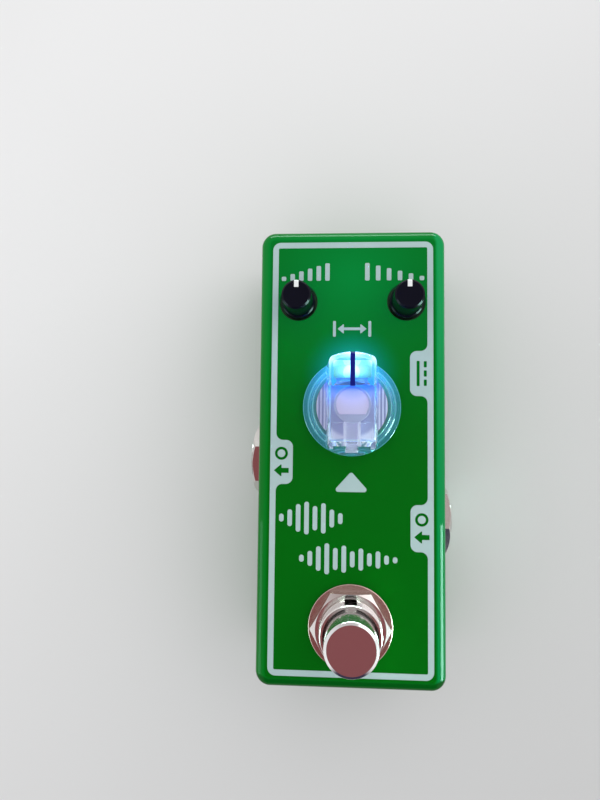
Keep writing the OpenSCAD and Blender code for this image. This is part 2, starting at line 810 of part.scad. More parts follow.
// A pale moulding glued under the clear one, with a hub on the shaft, low ribs along its wings, a tail at its
// back and two fins that stand in the pockets behind the shaft
module time_core() {
    flange_r = core_r - seat_fit;
    first_x = pocket_w / 2 + core_side_wall + core_rib_w;
    fin_x = rib_w / 2 + core_fin_gap;
    fin_l = back_pocket_out - core_fin_inset;
    fin_top_z = panel_z + back_pocket_h - core_fin_drop;
    color("#d9d8ea") translate([0, main_y, 0]) difference() {
        union() {
            core_form(core_hub_d, flange_r, core_flange_t, hollow_z, main_socket_z - run_fit, -seat_fit);
            intersection() {
                translate([0, 0, hollow_z]) cylinder(r = flange_r, h = core_flange_t + core_rib_h);
                for (side = [0, 180], k = [0 : core_ribs - 1]) rotate([0, 0, side])
                    translate([first_x + k * core_rib_pitch, -flange_r, hollow_z + core_flange_t / 2])
                        cube([core_rib_w, 2 * flange_r, core_flange_t / 2 + core_rib_h]);
            }
            for (x = [fin_x, -fin_x - core_fin_t])
                translate([x, -fin_l, hollow_z]) cube([core_fin_t, fin_l, fin_top_z - hollow_z]);
        }
        shaft_socket(main_shaft_d, hollow_z, main_socket_z + past);
    }
}

module time_index() {
    color("#14246b") translate([0, main_y, 0]) intersection() {
        main_knob_form();
        main_index_zone();
    }
}

module time_shaft() {
    color("#c9c9c4") pot_shaft(0, main_y, main_shaft_d, hollow_z, main_socket_z - run_fit);
}

module time_pot() {
    color("#3c6a4a") pot_case(0, main_y, main_shaft_d, neck_d, neck_top_z);
}

module time_pot_washer() {
    color("silver") translate([0, main_y, panel_z]) ring(pot_washer_d, neck_hole_d, pot_washer_t);
}

module time_pot_nut() {
    color("silver") translate([0, main_y, panel_z + pot_washer_t])
        hex_nut(pot_nut_af, neck_d + 2 * run_fit, pot_nut_t);
}

// Lamp

module lamp() {
    r = lamp_d / 2;
    color("#3f7dff") translate([0, lamp_y, 0]) rotate_extrude() union() {
        translate([0, lamp_z]) square([lamp_flange_d / 2, lamp_flange_t]);
        translate([0, lamp_z + lamp_flange_t]) square([r, lamp_top_z - r - lamp_z - lamp_flange_t]);
        translate([0, lamp_top_z - r]) intersection() {
            circle(r = r);
            square(r);
        }
    }
}

module lamp_leads() {
    color("silver") at_leads() translate([0, 0, board_z - pin_reach])
        cylinder(d = lead_d, h = lamp_z - board_z + pin_reach);
}

// Foot switch

module switch_plunger() {
    r = plunger_d / 2;
    color("#d8d8da") translate([0, switch_y, 0]) rotate_extrude() polygon([
        [0, collar_top_z - collar_t], [collar_d / 2, collar_top_z - collar_t], [collar_d / 2, collar_top_z],
        [stem_d / 2, collar_top_z], [stem_d / 2, head_z], [r, head_z],
        [r, plunger_top_z - plunger_chamfer], [r - plunger_chamfer, plunger_top_z], [0, plunger_top_z]
    ]);
}

// One ring of the spring's wire for each step round the coil, then faces between neighbouring rings
module switch_spring() {
    steps = coil_turns * coil_rings;
    foot_z = bush_floor_z + wire_r;
    rise = head_z - bush_floor_z - 2 * wire_r;
    points = [for (i = [0 : steps], j = [0 : wire_sides - 1])
        let (turn = 360 * i / coil_rings, side = 360 * j / wire_sides, out = coil_r + wire_r * cos(side))
        [out * cos(turn), out * sin(turn), foot_z + rise * i / steps + wire_r * sin(side)]];
    walls = [for (i = [0 : steps - 1], j = [0 : wire_sides - 1])
        let (a = i * wire_sides + j, b = i * wire_sides + (j + 1) % wire_sides)
        each [[a, b, b + wire_sides], [a, b + wire_sides, a + wire_sides]]];
    start = [[for (j = [wire_sides - 1 : -1 : 0]) j]];
    finish = [[for (j = [0 : wire_sides - 1]) steps * wire_sides + j]];
    color("#9a9da2") translate([0, switch_y, 0]) polyhedron(points, concat(walls, start, finish));
}

module switch_bush() {
    r = bush_d / 2;
    bore_r = bush_bore_d / 2;
    color("#b9bbbe") translate([0, switch_y, 0]) difference() {
        rotate_extrude() polygon([
            [stem_hole_d / 2, frame_top_z], [r, frame_top_z], [r, bush_top_z - bush_chamfer],
            [r - bush_chamfer, bush_top_z], [bore_r, bush_top_z], [bore_r, bush_floor_z],
            [stem_hole_d / 2, bush_floor_z]
        ]);
        translate([-keyway_w / 2, keyway_in, ceiling_z]) cube([keyway_w, r, bush_top_z - ceiling_z + past]);
    }
}

module switch_washer() {
    color("#c4c6c8") translate([0, switch_y, panel_z])
        ring(switch_washer_d, bush_d + 2 * hole_fit, switch_washer_t);
}

module switch_nut() {
    color("#c4c6c8") translate([0, switch_y, panel_z + switch_washer_t])
        hex_nut(switch_nut_af, bush_d + 2 * run_fit, switch_nut_t);
}

module switch_inner_nut() {
    color("#a8aaad") translate([0, switch_y, ceiling_z]) mirror([0, 0, 1])
        hex_nut(switch_nut_af, bush_d + 2 * run_fit, switch_nut_t);
}

// A plate over the switch body with a lip folded down at each end
module switch_frame() {
    lip_l = switch_l + 2 * frame_t;
    color("#b0b2b5") translate([0, switch_y, 0]) difference() {
        translate([-switch_w / 2, -lip_l / 2, frame_z - frame_lip])
            cube([switch_w, lip_l, frame_lip + frame_t]);
        translate([-switch_w / 2 - past, -switch_l / 2, frame_z - frame_lip - past])
            cube([switch_w + 2 * past, switch_l, frame_lip + past]);
        translate([0, 0, frame_z - past]) cylinder(d = stem_hole_d, h = frame_t + 2 * past);
    }
}

module switch_body() {
    color("#2b56a8") translate([0, switch_y, 0]) difference() {
        translate([-switch_w / 2, -switch_l / 2, switch_body_z]) cube([switch_w, switch_l, switch_h]);
        translate([0, 0, well_z]) cylinder(d = well_d, h = frame_z - well_z + past);
    }
}

module switch_lugs() {
    color("#c8b560") at_lugs() translate([-lug_w / 2, -lug_t / 2, switch_body_z - lug_l])
        cube([lug_w, lug_t, lug_l]);
}

module switch_board() {
    hole = [lug_w + 2 * hole_fit, lug_t + 2 * hole_fit, board_t + 2 * past];
    color("#1d5a38") difference() {
        translate([-switch_w / 2, switch_y - switch_l / 2, switch_board_top_z - board_t])
            cube([switch_w, switch_l + switch_board_reach, board_t]);
        at_lugs() translate([-hole.x / 2, -hole.y / 2, switch_board_top_z - board_t - past]) cube(hole);
    }
}

module switch_cable() {
    color("#8f9297") for (k = [0 : cable_wires - 1])
        translate([(k - (cable_wires - 1) / 2) * cable_pitch, cable_y, switch_board_top_z])
            cylinder(d = cable_wire_d, h = board_z - switch_board_top_z);
}

// Jacks, each drawn with its seat on the wall at z = 0 and +Z out of the box

module jack_body() {
    color("#1a1a1c") difference() {
        translate([-jack_h / 2, -jack_w / 2, jack_back]) cube([jack_h, jack_w, -jack_front - jack_back]);
        translate([0, 0, jack_floor]) cylinder(d = jack_bore_d, h = -jack_floor);
        translate([0, -contact_w / 2, jack_floor + past]) cube([jack_h, contact_w, contact_l]);
    }
}

module jack_bush() {
    color("#c9cbce") translate([0, 0, -jack_front]) ring(jack_bush_d, jack_bore_d, jack_front + jack_end);
}

module jack_washer() {
    color("#c9cbce") ring(jack_washer_d, jack_hole_d, jack_washer_t);
}

module jack_nut(turn) {
    color("#d2d4d6") translate([0, 0, jack_washer_t]) rotate([0, 0, 30 + turn])
        hex_nut(jack_nut_af, jack_bush_d + 2 * run_fit, jack_nut_t);
}

// A spring strip in the slot under the bore, and solder pins up through the main board
module jack_contacts() {
    strip_w = contact_w - 2 * contact_fit;
    strip_x = jack_bore_d / 2 + contact_fit;
    color("#c8a951") {
        translate([strip_x, -strip_w / 2, jack_floor + past + contact_fit])
            cube([jack_h / 2 - strip_x, strip_w, contact_t]);
        translate([strip_x, -strip_w / 2, jack_floor + past + contact_fit])
            cube([contact_t, strip_w, contact_l - 2 * contact_fit]);
        for (back = jack_pins, side = [-1, 1])
            translate([-jack_h / 2, side * jack_pin_y, back]) rotate([0, -90, 0])
                cylinder(d = pin_d, h = jack_drop + board_t + pin_reach);
    }
}

module output_jack_body() { on_left(jack_seat_x, output_y, jack_z) jack_body(); }
module output_jack_bush() { on_left(jack_seat_x, output_y, jack_z) jack_bush(); }
module output_jack_washer() { on_left(jack_seat_x, output_y, jack_z) jack_washer(); }
module output_jack_nut() { on_left(jack_seat_x, output_y, jack_z) jack_nut(output_nut_turn); }
module output_jack_contacts() { on_left(jack_seat_x, output_y, jack_z) jack_contacts(); }
module input_jack_body() { on_right(jack_seat_x, input_y, jack_z) jack_body(); }
module input_jack_bush() { on_right(jack_seat_x, input_y, jack_z) jack_bush(); }
module input_jack_washer() { on_right(jack_seat_x, input_y, jack_z) jack_washer(); }
module input_jack_nut() { on_right(jack_seat_x, input_y, jack_z) jack_nut(input_nut_turn); }
module input_jack_contacts() { on_right(jack_seat_x, input_y, jack_z) jack_contacts(); }

// Power inlet, drawn the same way

module inlet_body() {
    color("#151517") on_right(inlet_seat_x, inlet_y, inlet_z) difference() {
        union() {
            translate([-inlet_up, -inlet_w / 2, inlet_back]) cube([inlet_up + inlet_down, inlet_w, inlet_l]);
            translate([0, 0, -inlet_front - past])
                cylinder(d = inlet_nose_d, h = inlet_front + past - inlet_recess);
        }
        translate([0, 0, inlet_floor]) cylinder(d = inlet_bore_d, h = -inlet_floor);
        translate([0, -inlet_slot_w / 2, inlet_floor]) cube([inlet_down + past, inlet_slot_w, inlet_slot_l]);
        translate([0, 0, inlet_back - past])
            cylinder(d = inlet_root_d, h = inlet_floor - inlet_back + 2 * past);
    }
}

// A turned pin with a thicker root that is pressed into the back of the socket
module inlet_pin() {
    tip = inlet_pin_d / 4;
    r = inlet_pin_d / 2;
    root_r = inlet_root_d / 2;
    color("#d0d2d4") on_right(inlet_seat_x, inlet_y, inlet_z) rotate_extrude() polygon([
        [0, inlet_back], [root_r, inlet_back], [root_r, inlet_floor], [r, inlet_floor],
        [r, inlet_floor + inlet_pin_l - tip],
        [r - tip, inlet_floor + inlet_pin_l], [0, inlet_floor + inlet_pin_l]
    ]);
}

module inlet_contacts() {
    strip_w = inlet_slot_w - 2 * contact_fit;
    strip_x = inlet_bore_d / 2 + contact_fit;
    color("#c8a951") {
        on_right(inlet_seat_x, inlet_y, inlet_z) translate([strip_x, -strip_w / 2, inlet_floor])
            cube([contact_t, strip_w, inlet_slot_l - contact_fit]);
        at_inlet_pins() translate([0, 0, power_board_z]) cylinder(d = pin_d, h = board_t + pin_reach);
    }
}

// Boards and what they carry

module main_board() {
    size = [2 * board_x, board_far_y - board_near_y];
    color("#1d5a38") difference() {
        translate([0, (board_far_y + board_near_y) / 2, board_z])
            round_plate(size.x - 2 * board_corner, size.y - 2 * board_corner, board_corner, board_t);
        translate([0, 0, board_z - past]) {
            for (side = [-1, 1])
                at_pot_pins(side * small_x, small_y) cylinder(d = pin_hole_d, h = board_t + 2 * past);
            at_pot_pins(0, main_y) cylinder(d = pin_hole_d, h = board_t + 2 * past);
            at_jack_pins() cylinder(d = pin_hole_d, h = board_t + 2 * past);
            at_leads() cylinder(d = lead_d + 2 * hole_fit, h = board_t + 2 * past);
            at_header_pins() cylinder(d = header_pin_d + 2 * hole_fit, h = board_t + 2 * past);
        }
    }
}

module power_board() {
    color("#1d5a38") difference() {
        translate([power_board_x - power_board_w, inlet_y - power_board_l / 2, power_board_z])
            cube([power_board_w, power_board_l, board_t]);
        translate([0, 0, power_board_z - past]) {
            at_header_pins() cylinder(d = header_pin_d + 2 * hole_fit, h = board_t + 2 * past);
            at_inlet_pins() cylinder(d = pin_hole_d, h = board_t + 2 * past);
        }
    }
}

// Its pins are trimmed flush under the power board, where the inlet sits
module board_header() {
    length = header_pins * header_pitch;
    strip_z = power_board_z + board_t;
    color("#1a1a1c") union() {
        translate([header_x - header_w / 2, inlet_y - length / 2, strip_z])
            cube([header_w, length, header_h]);
        at_header_pins() translate([0, 0, power_board_z + run_fit])
            cylinder(d = header_pin_d, h = board_top_z - power_board_z + pin_reach - run_fit);
    }
}

// A chip along X, with a row of legs on each long side
module chip(y, size, legs) {
    step = leg_reach / 2;
    translate([0, y, board_top_z]) {
        translate([-size.x / 2, -size.y / 2, chip_lift]) cube(size);
        for (k = [0 : legs - 1], side = [0, 180]) rotate([0, 0, side])
            translate([(k - (legs - 1) / 2) * leg_pitch - leg_w / 2, 0, 0]) {
                translate([0, size.y / 2 - leg_t, size.z / 2]) cube([leg_w, step + leg_t, leg_t]);
                translate([0, size.y / 2 + step - leg_t, 0]) cube([leg_w, leg_t, size.z / 2 + leg_t]);
                translate([0, size.y / 2 + step - leg_t, 0]) cube([leg_w, step + leg_t, leg_t]);
            }
    }
}

module delay_chip() {
    color("#222226") chip(chip_y, chip_size, chip_legs);
}

module amplifier_chip() {
    color("#222226") chip(amplifier_y, amplifier_size, amplifier_legs);
}

module regulator() {
    color("#222226") translate([regulator_spot.x, regulator_spot.y, board_top_z]) {
        translate([-regulator_size.x / 2, -regulator_size.y / 2, 0]) cube(regulator_size);
        translate([-regulator_tab.x / 2, regulator_size.y / 2 - regulator_tab.z, 0])
            cube(regulator_tab + [0, regulator_tab.z, 0]);
    }
}

module capacitors() {
    color("#b8babd") for (spot = capacitor_spots) translate([spot.x, spot.y, board_top_z]) {
        translate([-capacitor_foot.x / 2, -capacitor_foot.y / 2, 0]) cube(capacitor_foot);
        cylinder(d = capacitor_d, h = capacitor_h);
    }
}

module resistor(x, y) {
    translate([x - resistor_size.x / 2, y - resistor_size.y / 2, board_top_z]) cube(resistor_size);
}

module resistors() {
    color("#2a2a2d") {
        for (row = [-1, 0, 1], k = [-1, 0, 1]) resistor(k * resistor_x, small_y + row * resistor_step);
        for (k = [-2 : 2]) resistor(k * resistor_near_pitch, resistor_near_y);
    }
}

enclosure();
base_plate();
base_screws();
rubber_pad();
level_knob();
level_index();
level_shaft();
level_pot();
repeat_knob();
repeat_index();
repeat_shaft();
repeat_pot();
time_knob();
time_core();
time_index();
time_shaft();
time_pot();
time_pot_washer();
time_pot_nut();
lamp();
lamp_leads();
switch_plunger();
switch_spring();
switch_bush();
switch_washer();
switch_nut();
switch_inner_nut();
switch_frame();
switch_body();
switch_lugs();
switch_board();
switch_cable();
output_jack_body();
output_jack_bush();
output_jack_washer();
output_jack_nut();
output_jack_contacts();
input_jack_body();
input_jack_bush();
input_jack_washer();
input_jack_nut();
input_jack_contacts();
inlet_body();
inlet_pin();
inlet_contacts();
main_board();
power_board();
board_header();
delay_chip();
amplifier_chip();
regulator();
capacitors();
resistors();
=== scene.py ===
"""A compact delay pedal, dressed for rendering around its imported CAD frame, in metres."""
import math

import bmesh
import bpy
from mathutils import Matrix, Quaternion, Vector


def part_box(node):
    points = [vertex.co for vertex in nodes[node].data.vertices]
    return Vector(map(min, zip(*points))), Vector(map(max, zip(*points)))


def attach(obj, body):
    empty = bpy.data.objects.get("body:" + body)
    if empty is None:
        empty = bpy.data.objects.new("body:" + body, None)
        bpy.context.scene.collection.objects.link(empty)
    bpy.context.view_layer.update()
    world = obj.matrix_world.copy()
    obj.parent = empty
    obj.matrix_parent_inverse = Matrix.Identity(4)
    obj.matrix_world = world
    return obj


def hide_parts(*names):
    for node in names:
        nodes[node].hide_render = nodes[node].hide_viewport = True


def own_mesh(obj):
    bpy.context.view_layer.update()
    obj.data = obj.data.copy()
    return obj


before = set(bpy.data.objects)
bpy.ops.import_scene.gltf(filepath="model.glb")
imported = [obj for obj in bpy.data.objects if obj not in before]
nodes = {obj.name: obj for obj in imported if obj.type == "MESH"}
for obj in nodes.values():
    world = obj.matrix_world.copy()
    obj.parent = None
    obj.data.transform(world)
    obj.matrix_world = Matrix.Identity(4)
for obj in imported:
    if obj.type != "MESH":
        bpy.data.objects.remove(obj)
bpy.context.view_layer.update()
scene = bpy.context.scene
scene.view_settings.view_transform = "Standard"

# Camera. A short lens held by hand nearly straight over the panel, a little towards the output side,
# in a frame of 600 by 800 pixels.
MM = 0.001
camera = bpy.data.objects.new("camera", bpy.data.cameras.new("camera"))
camera.data.sensor_width = 36
camera.data.lens = 28.8
camera.data.clip_start = 10 * MM
camera_turn = Vector((math.radians(3.94), math.radians(3.80), math.radians(0.53)))
camera.location = Vector((-1.84, 2.18, 164.01)) * MM
camera.rotation_mode = "QUATERNION"
camera.rotation_quaternion = Quaternion(camera_turn.normalized(), camera_turn.length)
scene.collection.objects.link(camera)
scene.camera = camera

# Studio. A pale matt table top under soft light, a room that gloss shows as bright on most sides and dim on
# the near side, a large window, and three strips that draw lines of light along the box's edges.


def mesh_piece(name, mesh):
    piece = bpy.data.objects.new(name, mesh)
    scene.collection.objects.link(piece)
    return piece


def link(tree, source, target):
    tree.links.new(source, target)


FLOOR_HALF = 2.0
floor_mesh = bpy.data.meshes.new("floor")
floor_mesh.from_pydata(
    [(x * FLOOR_HALF, y * FLOOR_HALF, 0) for x, y in ((-1, -1), (1, -1), (1, 1), (-1, 1))],
    [], [(0, 1, 2, 3)])
floor = mesh_piece("floor", floor_mesh)
floor_paint = bpy.data.materials.new("pale_table")
floor_paint.use_nodes = True
floor_tree = floor_paint.node_tree
floor_shader = floor_tree.nodes["Principled BSDF"]
floor_shader.inputs["Roughness"].default_value = 0.7
floor_shader.inputs["Specular IOR Level"].default_value = 0.0
floor_place = floor_tree.nodes.new("ShaderNodeTexCoord").outputs["Object"]
floor_noise = floor_tree.nodes.new("ShaderNodeTexNoise")
floor_noise.inputs["Scale"].default_value = 9
floor_ramp = floor_tree.nodes.new("ShaderNodeValToRGB")
floor_ramp.color_ramp.elements[0].color = (0.772, 0.772, 0.762, 1)
floor_ramp.color_ramp.elements[1].color = (0.832, 0.832, 0.827, 1)
link(floor_tree, floor_place, floor_noise.inputs["Vector"])
link(floor_tree, floor_noise.outputs["Fac"], floor_ramp.inputs["Fac"])


def vector_node(tree, operation, *values):
    node = tree.nodes.new("ShaderNodeVectorMath")
    node.operation = operation
    for socket, value in zip(node.inputs, values):
        if isinstance(value, (tuple, Vector)):
            socket.default_value = value
        else:
            link(tree, value, socket)
    return node.outputs["Value" if operation in ("LENGTH", "DOT_PRODUCT") else "Vector"]


def scaled(tree, vector, scale):
    """A vector or a colour times a value."""
    node = tree.nodes.new("ShaderNodeVectorMath")
    node.operation = "SCALE"
    if isinstance(vector, tuple):
        node.inputs[0].default_value = vector
    else:
        link(tree, vector, node.inputs[0])
    link(tree, scale, node.inputs["Scale"])
    return node.outputs["Vector"]


def fade(tree, socket, start, end, low=0.0, high=1.0, kind="SMOOTHSTEP"):
    """A value that goes from low, where the socket is at the start, to high, where it is at the end."""
    node = tree.nodes.new("ShaderNodeMapRange")
    node.interpolation_type = kind
    for label, value in (("From Min", start), ("From Max", end), ("To Min", low), ("To Max", high)):
        node.inputs[label].default_value = value
    link(tree, socket, node.inputs["Value"])
    return node.outputs["Result"]


# Painted light: the table is painted paler towards the far left, as if a window lit it from there.
FAR_LEFT = (-0.652, 0.759, 0)
floor_along = vector_node(floor_tree, "DOT_PRODUCT", floor_place, FAR_LEFT)
floor_painted_light = fade(floor_tree, floor_along, -0.16, 0.16, 0.72, 1.07)
floor_colour = scaled(floor_tree, floor_ramp.outputs["Color"], floor_painted_light)
link(floor_tree, floor_colour, floor_shader.inputs["Base Color"])
floor_mesh.materials.append(floor_paint)


def math_node(tree, operation, *values):
    node = tree.nodes.new("ShaderNodeMath")
    node.operation = operation
    for socket, value in zip(node.inputs, values):
        if isinstance(value, (int, float)):
            socket.default_value = value
        else:
            link(tree, value, socket)
    return node.outputs["Value"]


def axes_of(tree, vector):
    """The X, Y and Z of a vector."""
    split = tree.nodes.new("ShaderNodeSeparateXYZ")
    link(tree, vector, split.inputs[0])
    return split.outputs


def mixed(tree, mask, first, second):
    """The first colour where the mask is 0 and the second where it is 1."""
    node = tree.nodes.new("ShaderNodeMix")
    node.data_type = "RGBA"
    link(tree, mask, node.inputs["Factor"])
    for socket, colour in ((node.inputs[6], first), (node.inputs[7], second)):
        if isinstance(colour, tuple):
            socket.default_value = (*colour, 1)
        else:
            link(tree, colour, socket)
    return node.outputs[2]


room = bpy.data.worlds.new("room")
room.use_nodes = True
scene.world = room
room_tree = room.node_tree
soft_light = room_tree.nodes["Background"]
soft_light.inputs["Color"].default_value = (0.92, 0.92, 0.935, 1)
mirrored = room_tree.nodes.new("ShaderNodeBackground")
seen_by = room_tree.nodes.new("ShaderNodeMixShader")
room_axes = axes_of(room_tree, room_tree.nodes.new("ShaderNodeTexCoord").outputs["Generated"])


def height_ramp(bands):
    """Colours of the room by the height of a direction, from the horizon at 0 to overhead at 1."""
    ramp = room_tree.nodes.new("ShaderNodeValToRGB")
    elements = ramp.color_ramp.elements
    while len(elements) < len(bands):
        elements.new(0.5)
    for element, (height, colour) in zip(elements, bands):
        element.position = height
        element.color = (*colour, 1)
    link(room_tree, room_axes["Z"], ramp.inputs["Fac"])
    return ramp.outputs["Color"]


bright_side = height_ramp((
    (0.0, (0.85, 0.86, 0.88)), (0.35, (1.0, 1.0, 1.0)), (0.70, (0.84, 0.85, 0.87)),
    (0.80, (0.42, 0.34, 0.33)), (1.0, (0.40, 0.38, 0.38))))
dark_side = height_ramp((
    (0.0, (0.02, 0.024, 0.06)), (0.35, (0.05, 0.04, 0.07)), (0.80, (0.19, 0.07, 0.08)),
    (1.0, (0.27, 0.08, 0.085))))
near_side = fade(room_tree, room_axes["Y"], 0.02, -0.22)
near_width = fade(room_tree, math_node(room_tree, "ABSOLUTE", room_axes["X"]), 0.62, 0.34)
near_mask = math_node(room_tree, "MULTIPLY", near_side, near_width)
link(room_tree, mixed(room_tree, near_mask, bright_side, dark_side), mirrored.inputs["Color"])
ray = room_tree.nodes.new("ShaderNodeLightPath")
link(room_tree, ray.outputs["Is Glossy Ray"], seen_by.inputs["Fac"])
link(room_tree, soft_light.outputs["Background"], seen_by.inputs[1])
link(room_tree, mirrored.outputs["Background"], seen_by.inputs[2])
link(room_tree, seen_by.outputs["Shader"], room_tree.nodes["World Output"].inputs["Surface"])


def add_lamp(name, watts, size, place, aim, colour=(1, 1, 1), only_gloss=False):
    lamp_data = bpy.data.lights.new(name, "AREA")
    lamp_data.shape = "RECTANGLE"
    lamp_data.size, lamp_data.size_y = size
    lamp_data.energy = watts
    lamp_data.color = colour
    lamp = bpy.data.objects.new(name, lamp_data)
    lamp.location = place
    lamp.rotation_mode = "QUATERNION"
    lamp.rotation_quaternion = (Vector(aim) - Vector(place)).to_track_quat("-Z", "Y")
    lamp.visible_diffuse = not only_gloss
    scene.collection.objects.link(lamp)


add_lamp("window", 0.9, (0.6, 0.6), (0.50, 0.30, 0.50), (0, 0, 0.02))
STRIP_SIZE = (0.135, 0.14)
STRIP_TINT = (0.55, 1.0, 0.9)
for name, watts, side in (("edge_strip", 2.2, 1), ("left_strip", 0.22, -1)):
    place = (side * 0.25, -0.110, 0.085)
    add_lamp(name, watts, STRIP_SIZE, place, (side * 0.02, -0.110, 0.03), STRIP_TINT, True)
add_lamp("far_strip", 1.9, (0.35, 0.10), (0.0, 0.35, 0.075), (0, 0.05, 0.075), (0.7, 1.0, 0.9), True)

# Box. A die-cast aluminium shell with a drafted wall and a rounded edge round its panel, sprayed with gloss
# green enamel and stoved. The coat lies in a faint orange peel, and the lamp tints it blue round its hole.


def new_group(name, inputs, outputs):
    group = bpy.data.node_groups.new(name, "ShaderNodeTree")
    for label, kind, value in inputs:
        group.interface.new_socket(label, in_out="INPUT", socket_type=kind).default_value = value
    for label, kind in outputs:
        group.interface.new_socket(label, in_out="OUTPUT", socket_type=kind)
    return group, group.nodes.new("NodeGroupInput").outputs, group.nodes.new("NodeGroupOutput").inputs


# The grain group varies a colour and a roughness over a surface and gives a height for its bump.
grain, grain_in, grain_out = new_group(
    "surface_grain",
    (("Colour", "NodeSocketColor", (0.5, 0.5, 0.5, 1)), ("Mottle", "NodeSocketFloat", 0.1),
     ("Mottle Scale", "NodeSocketFloat", 150.0), ("Grain Scale", "NodeSocketFloat", 2500.0),
     ("Roughness", "NodeSocketFloat", 0.4), ("Spread", "NodeSocketFloat", 0.1)),
    (("Colour", "NodeSocketColor"), ("Roughness", "NodeSocketFloat"), ("Height", "NodeSocketFloat")))
grain_place = grain.nodes.new("ShaderNodeTexCoord").outputs["Object"]
mottle_noise = grain.nodes.new("ShaderNodeTexNoise")
fine_noise = grain.nodes.new("ShaderNodeTexNoise")
mottle_noise.inputs["Detail"].default_value = 4
fine_noise.inputs["Detail"].default_value = 2
link(grain, grain_place, mottle_noise.inputs["Vector"])
link(grain, grain_place, fine_noise.inputs["Vector"])
link(grain, grain_in["Mottle Scale"], mottle_noise.inputs["Scale"])
link(grain, grain_in["Grain Scale"], fine_noise.inputs["Scale"])
mottle_swing = math_node(grain, "SUBTRACT", mottle_noise.outputs["Fac"], 0.5)
mottle_gain = math_node(grain, "MULTIPLY_ADD", mottle_swing, grain_in["Mottle"], 1.0)
link(grain, scaled(grain, grain_in["Colour"], mottle_gain), grain_out["Colour"])
fine_swing = math_node(grain, "SUBTRACT", fine_noise.outputs["Fac"], 0.5)
link(grain, math_node(grain, "MULTIPLY_ADD", fine_swing, grain_in["Spread"], grain_in["Roughness"]),
     grain_out["Roughness"])
link(grain, fine_noise.outputs["Fac"], grain_out["Height"])

# The lamp's light, as a mask that falls from the lamp outwards. It stays over the lamp while a dial turns.
lamp_low, lamp_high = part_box("lamp")
LAMP_SPOT = Vector(((lamp_low.x + lamp_high.x) / 2, (lamp_low.y + lamp_high.y) / 2, lamp_high.z))
glow, glow_in, glow_out = new_group(
    "lamp_glow",
    (("Centre", "NodeSocketVector", LAMP_SPOT), ("Reach", "NodeSocketVector", (120, 120, 120)),
     ("Core", "NodeSocketColor", (0.5, 0.9, 1, 1)), ("Halo", "NodeSocketColor", (0, 0.2, 0.6, 1))),
    (("Colour", "NodeSocketColor"),))
glow_place = glow.nodes.new("ShaderNodeTexCoord")
glow_place.object = nodes["lamp"]
glow_away = vector_node(glow, "SUBTRACT", glow_place.outputs["Object"], glow_in["Centre"])
glow_span = vector_node(glow, "LENGTH", vector_node(glow, "MULTIPLY", glow_away, glow_in["Reach"]))
glow_left = math_node(glow, "MAXIMUM", math_node(glow, "SUBTRACT", 1.0, glow_span), 0.0)
glow_near = math_node(glow, "POWER", glow_left, 2.0)
glow_colour = mixed(glow, glow_near, glow_in["Halo"], glow_in["Core"])
link(glow, scaled(glow, glow_colour, glow_near), glow_out["Colour"])


def finish(name, colour, roughness, spread=0.1, mottle=0.15, mottle_scale=150.0, grain_scale=2500.0,
           bump=0.1, bump_depth=0.01, metallic=0.0, coat=0.0, coat_roughness=0.05, **shader_values):
    """A Principled material with its colour, roughness and bump from the grain group."""
    material = bpy.data.materials.new(name)
    material.use_nodes = True
    tree = material.node_tree
    shader = tree.nodes["Principled BSDF"]
    shader.inputs["Metallic"].default_value = metallic
    shader.inputs["Coat Weight"].default_value = coat
    shader.inputs["Coat Roughness"].default_value = coat_roughness
    for label, value in shader_values.items():
        shader.inputs[label.replace("_", " ")].default_value = value
    surface = tree.nodes.new("ShaderNodeGroup")
    surface.name = "surface_grain"
    surface.node_tree = grain
    surface.inputs["Colour"].default_value = (*colour, 1)
    surface.inputs["Mottle"].default_value = mottle
    surface.inputs["Mottle Scale"].default_value = mottle_scale
    surface.inputs["Grain Scale"].default_value = grain_scale
    surface.inputs["Roughness"].default_value = roughness
    surface.inputs["Spread"].default_value = spread
    relief = tree.nodes.new("ShaderNodeBump")
    relief.inputs["Strength"].default_value = bump
    relief.inputs["Distance"].default_value = bump_depth * MM
    link(tree, surface.outputs["Colour"], shader.inputs["Base Color"])
    link(tree, surface.outputs["Roughness"], shader.inputs["Roughness"])
    link(tree, surface.outputs["Height"], relief.inputs["Height"])
    link(tree, relief.outputs["Normal"], shader.inputs["Normal"])
    return material


def light_up(material, *layers):
    """Paints light on a material as emission: the lamp's light and wider faint glows, in layers of offset
    from the lamp's top, reach along the axes, both in millimetres, colour near the middle and colour further
    out."""
    tree = material.node_tree
    shader = tree.nodes["Principled BSDF"]
    shader.inputs["Emission Strength"].default_value = 1.0
    total = None
    for offset, reach, core, halo in layers:
        lit = tree.nodes.new("ShaderNodeGroup")
        lit.node_tree = glow
        lit.inputs["Centre"].default_value = LAMP_SPOT + Vector(offset) * MM
        lit.inputs["Reach"].default_value = [1 / (r * MM) for r in reach]
        lit.inputs["Core"].default_value = (*core, 1)
        lit.inputs["Halo"].default_value = (*halo, 1)
        layer = lit.outputs["Colour"]
        total = layer if total is None else vector_node(tree, "ADD", total, layer)
    link(tree, total, shader.inputs["Emission Color"])


def overlay(material, mask, tint):
    """Lays a colour over a material's own colour where the mask is 1."""
    tree = material.node_tree
    base = tree.nodes["Principled BSDF"].inputs["Base Color"]
    link(tree, mixed(tree, mask, base.links[0].from_socket, tint), base)


def dress(material, *names):
    for name in names:
        nodes[name].data.materials.clear()
        nodes[name].data.materials.append(material)


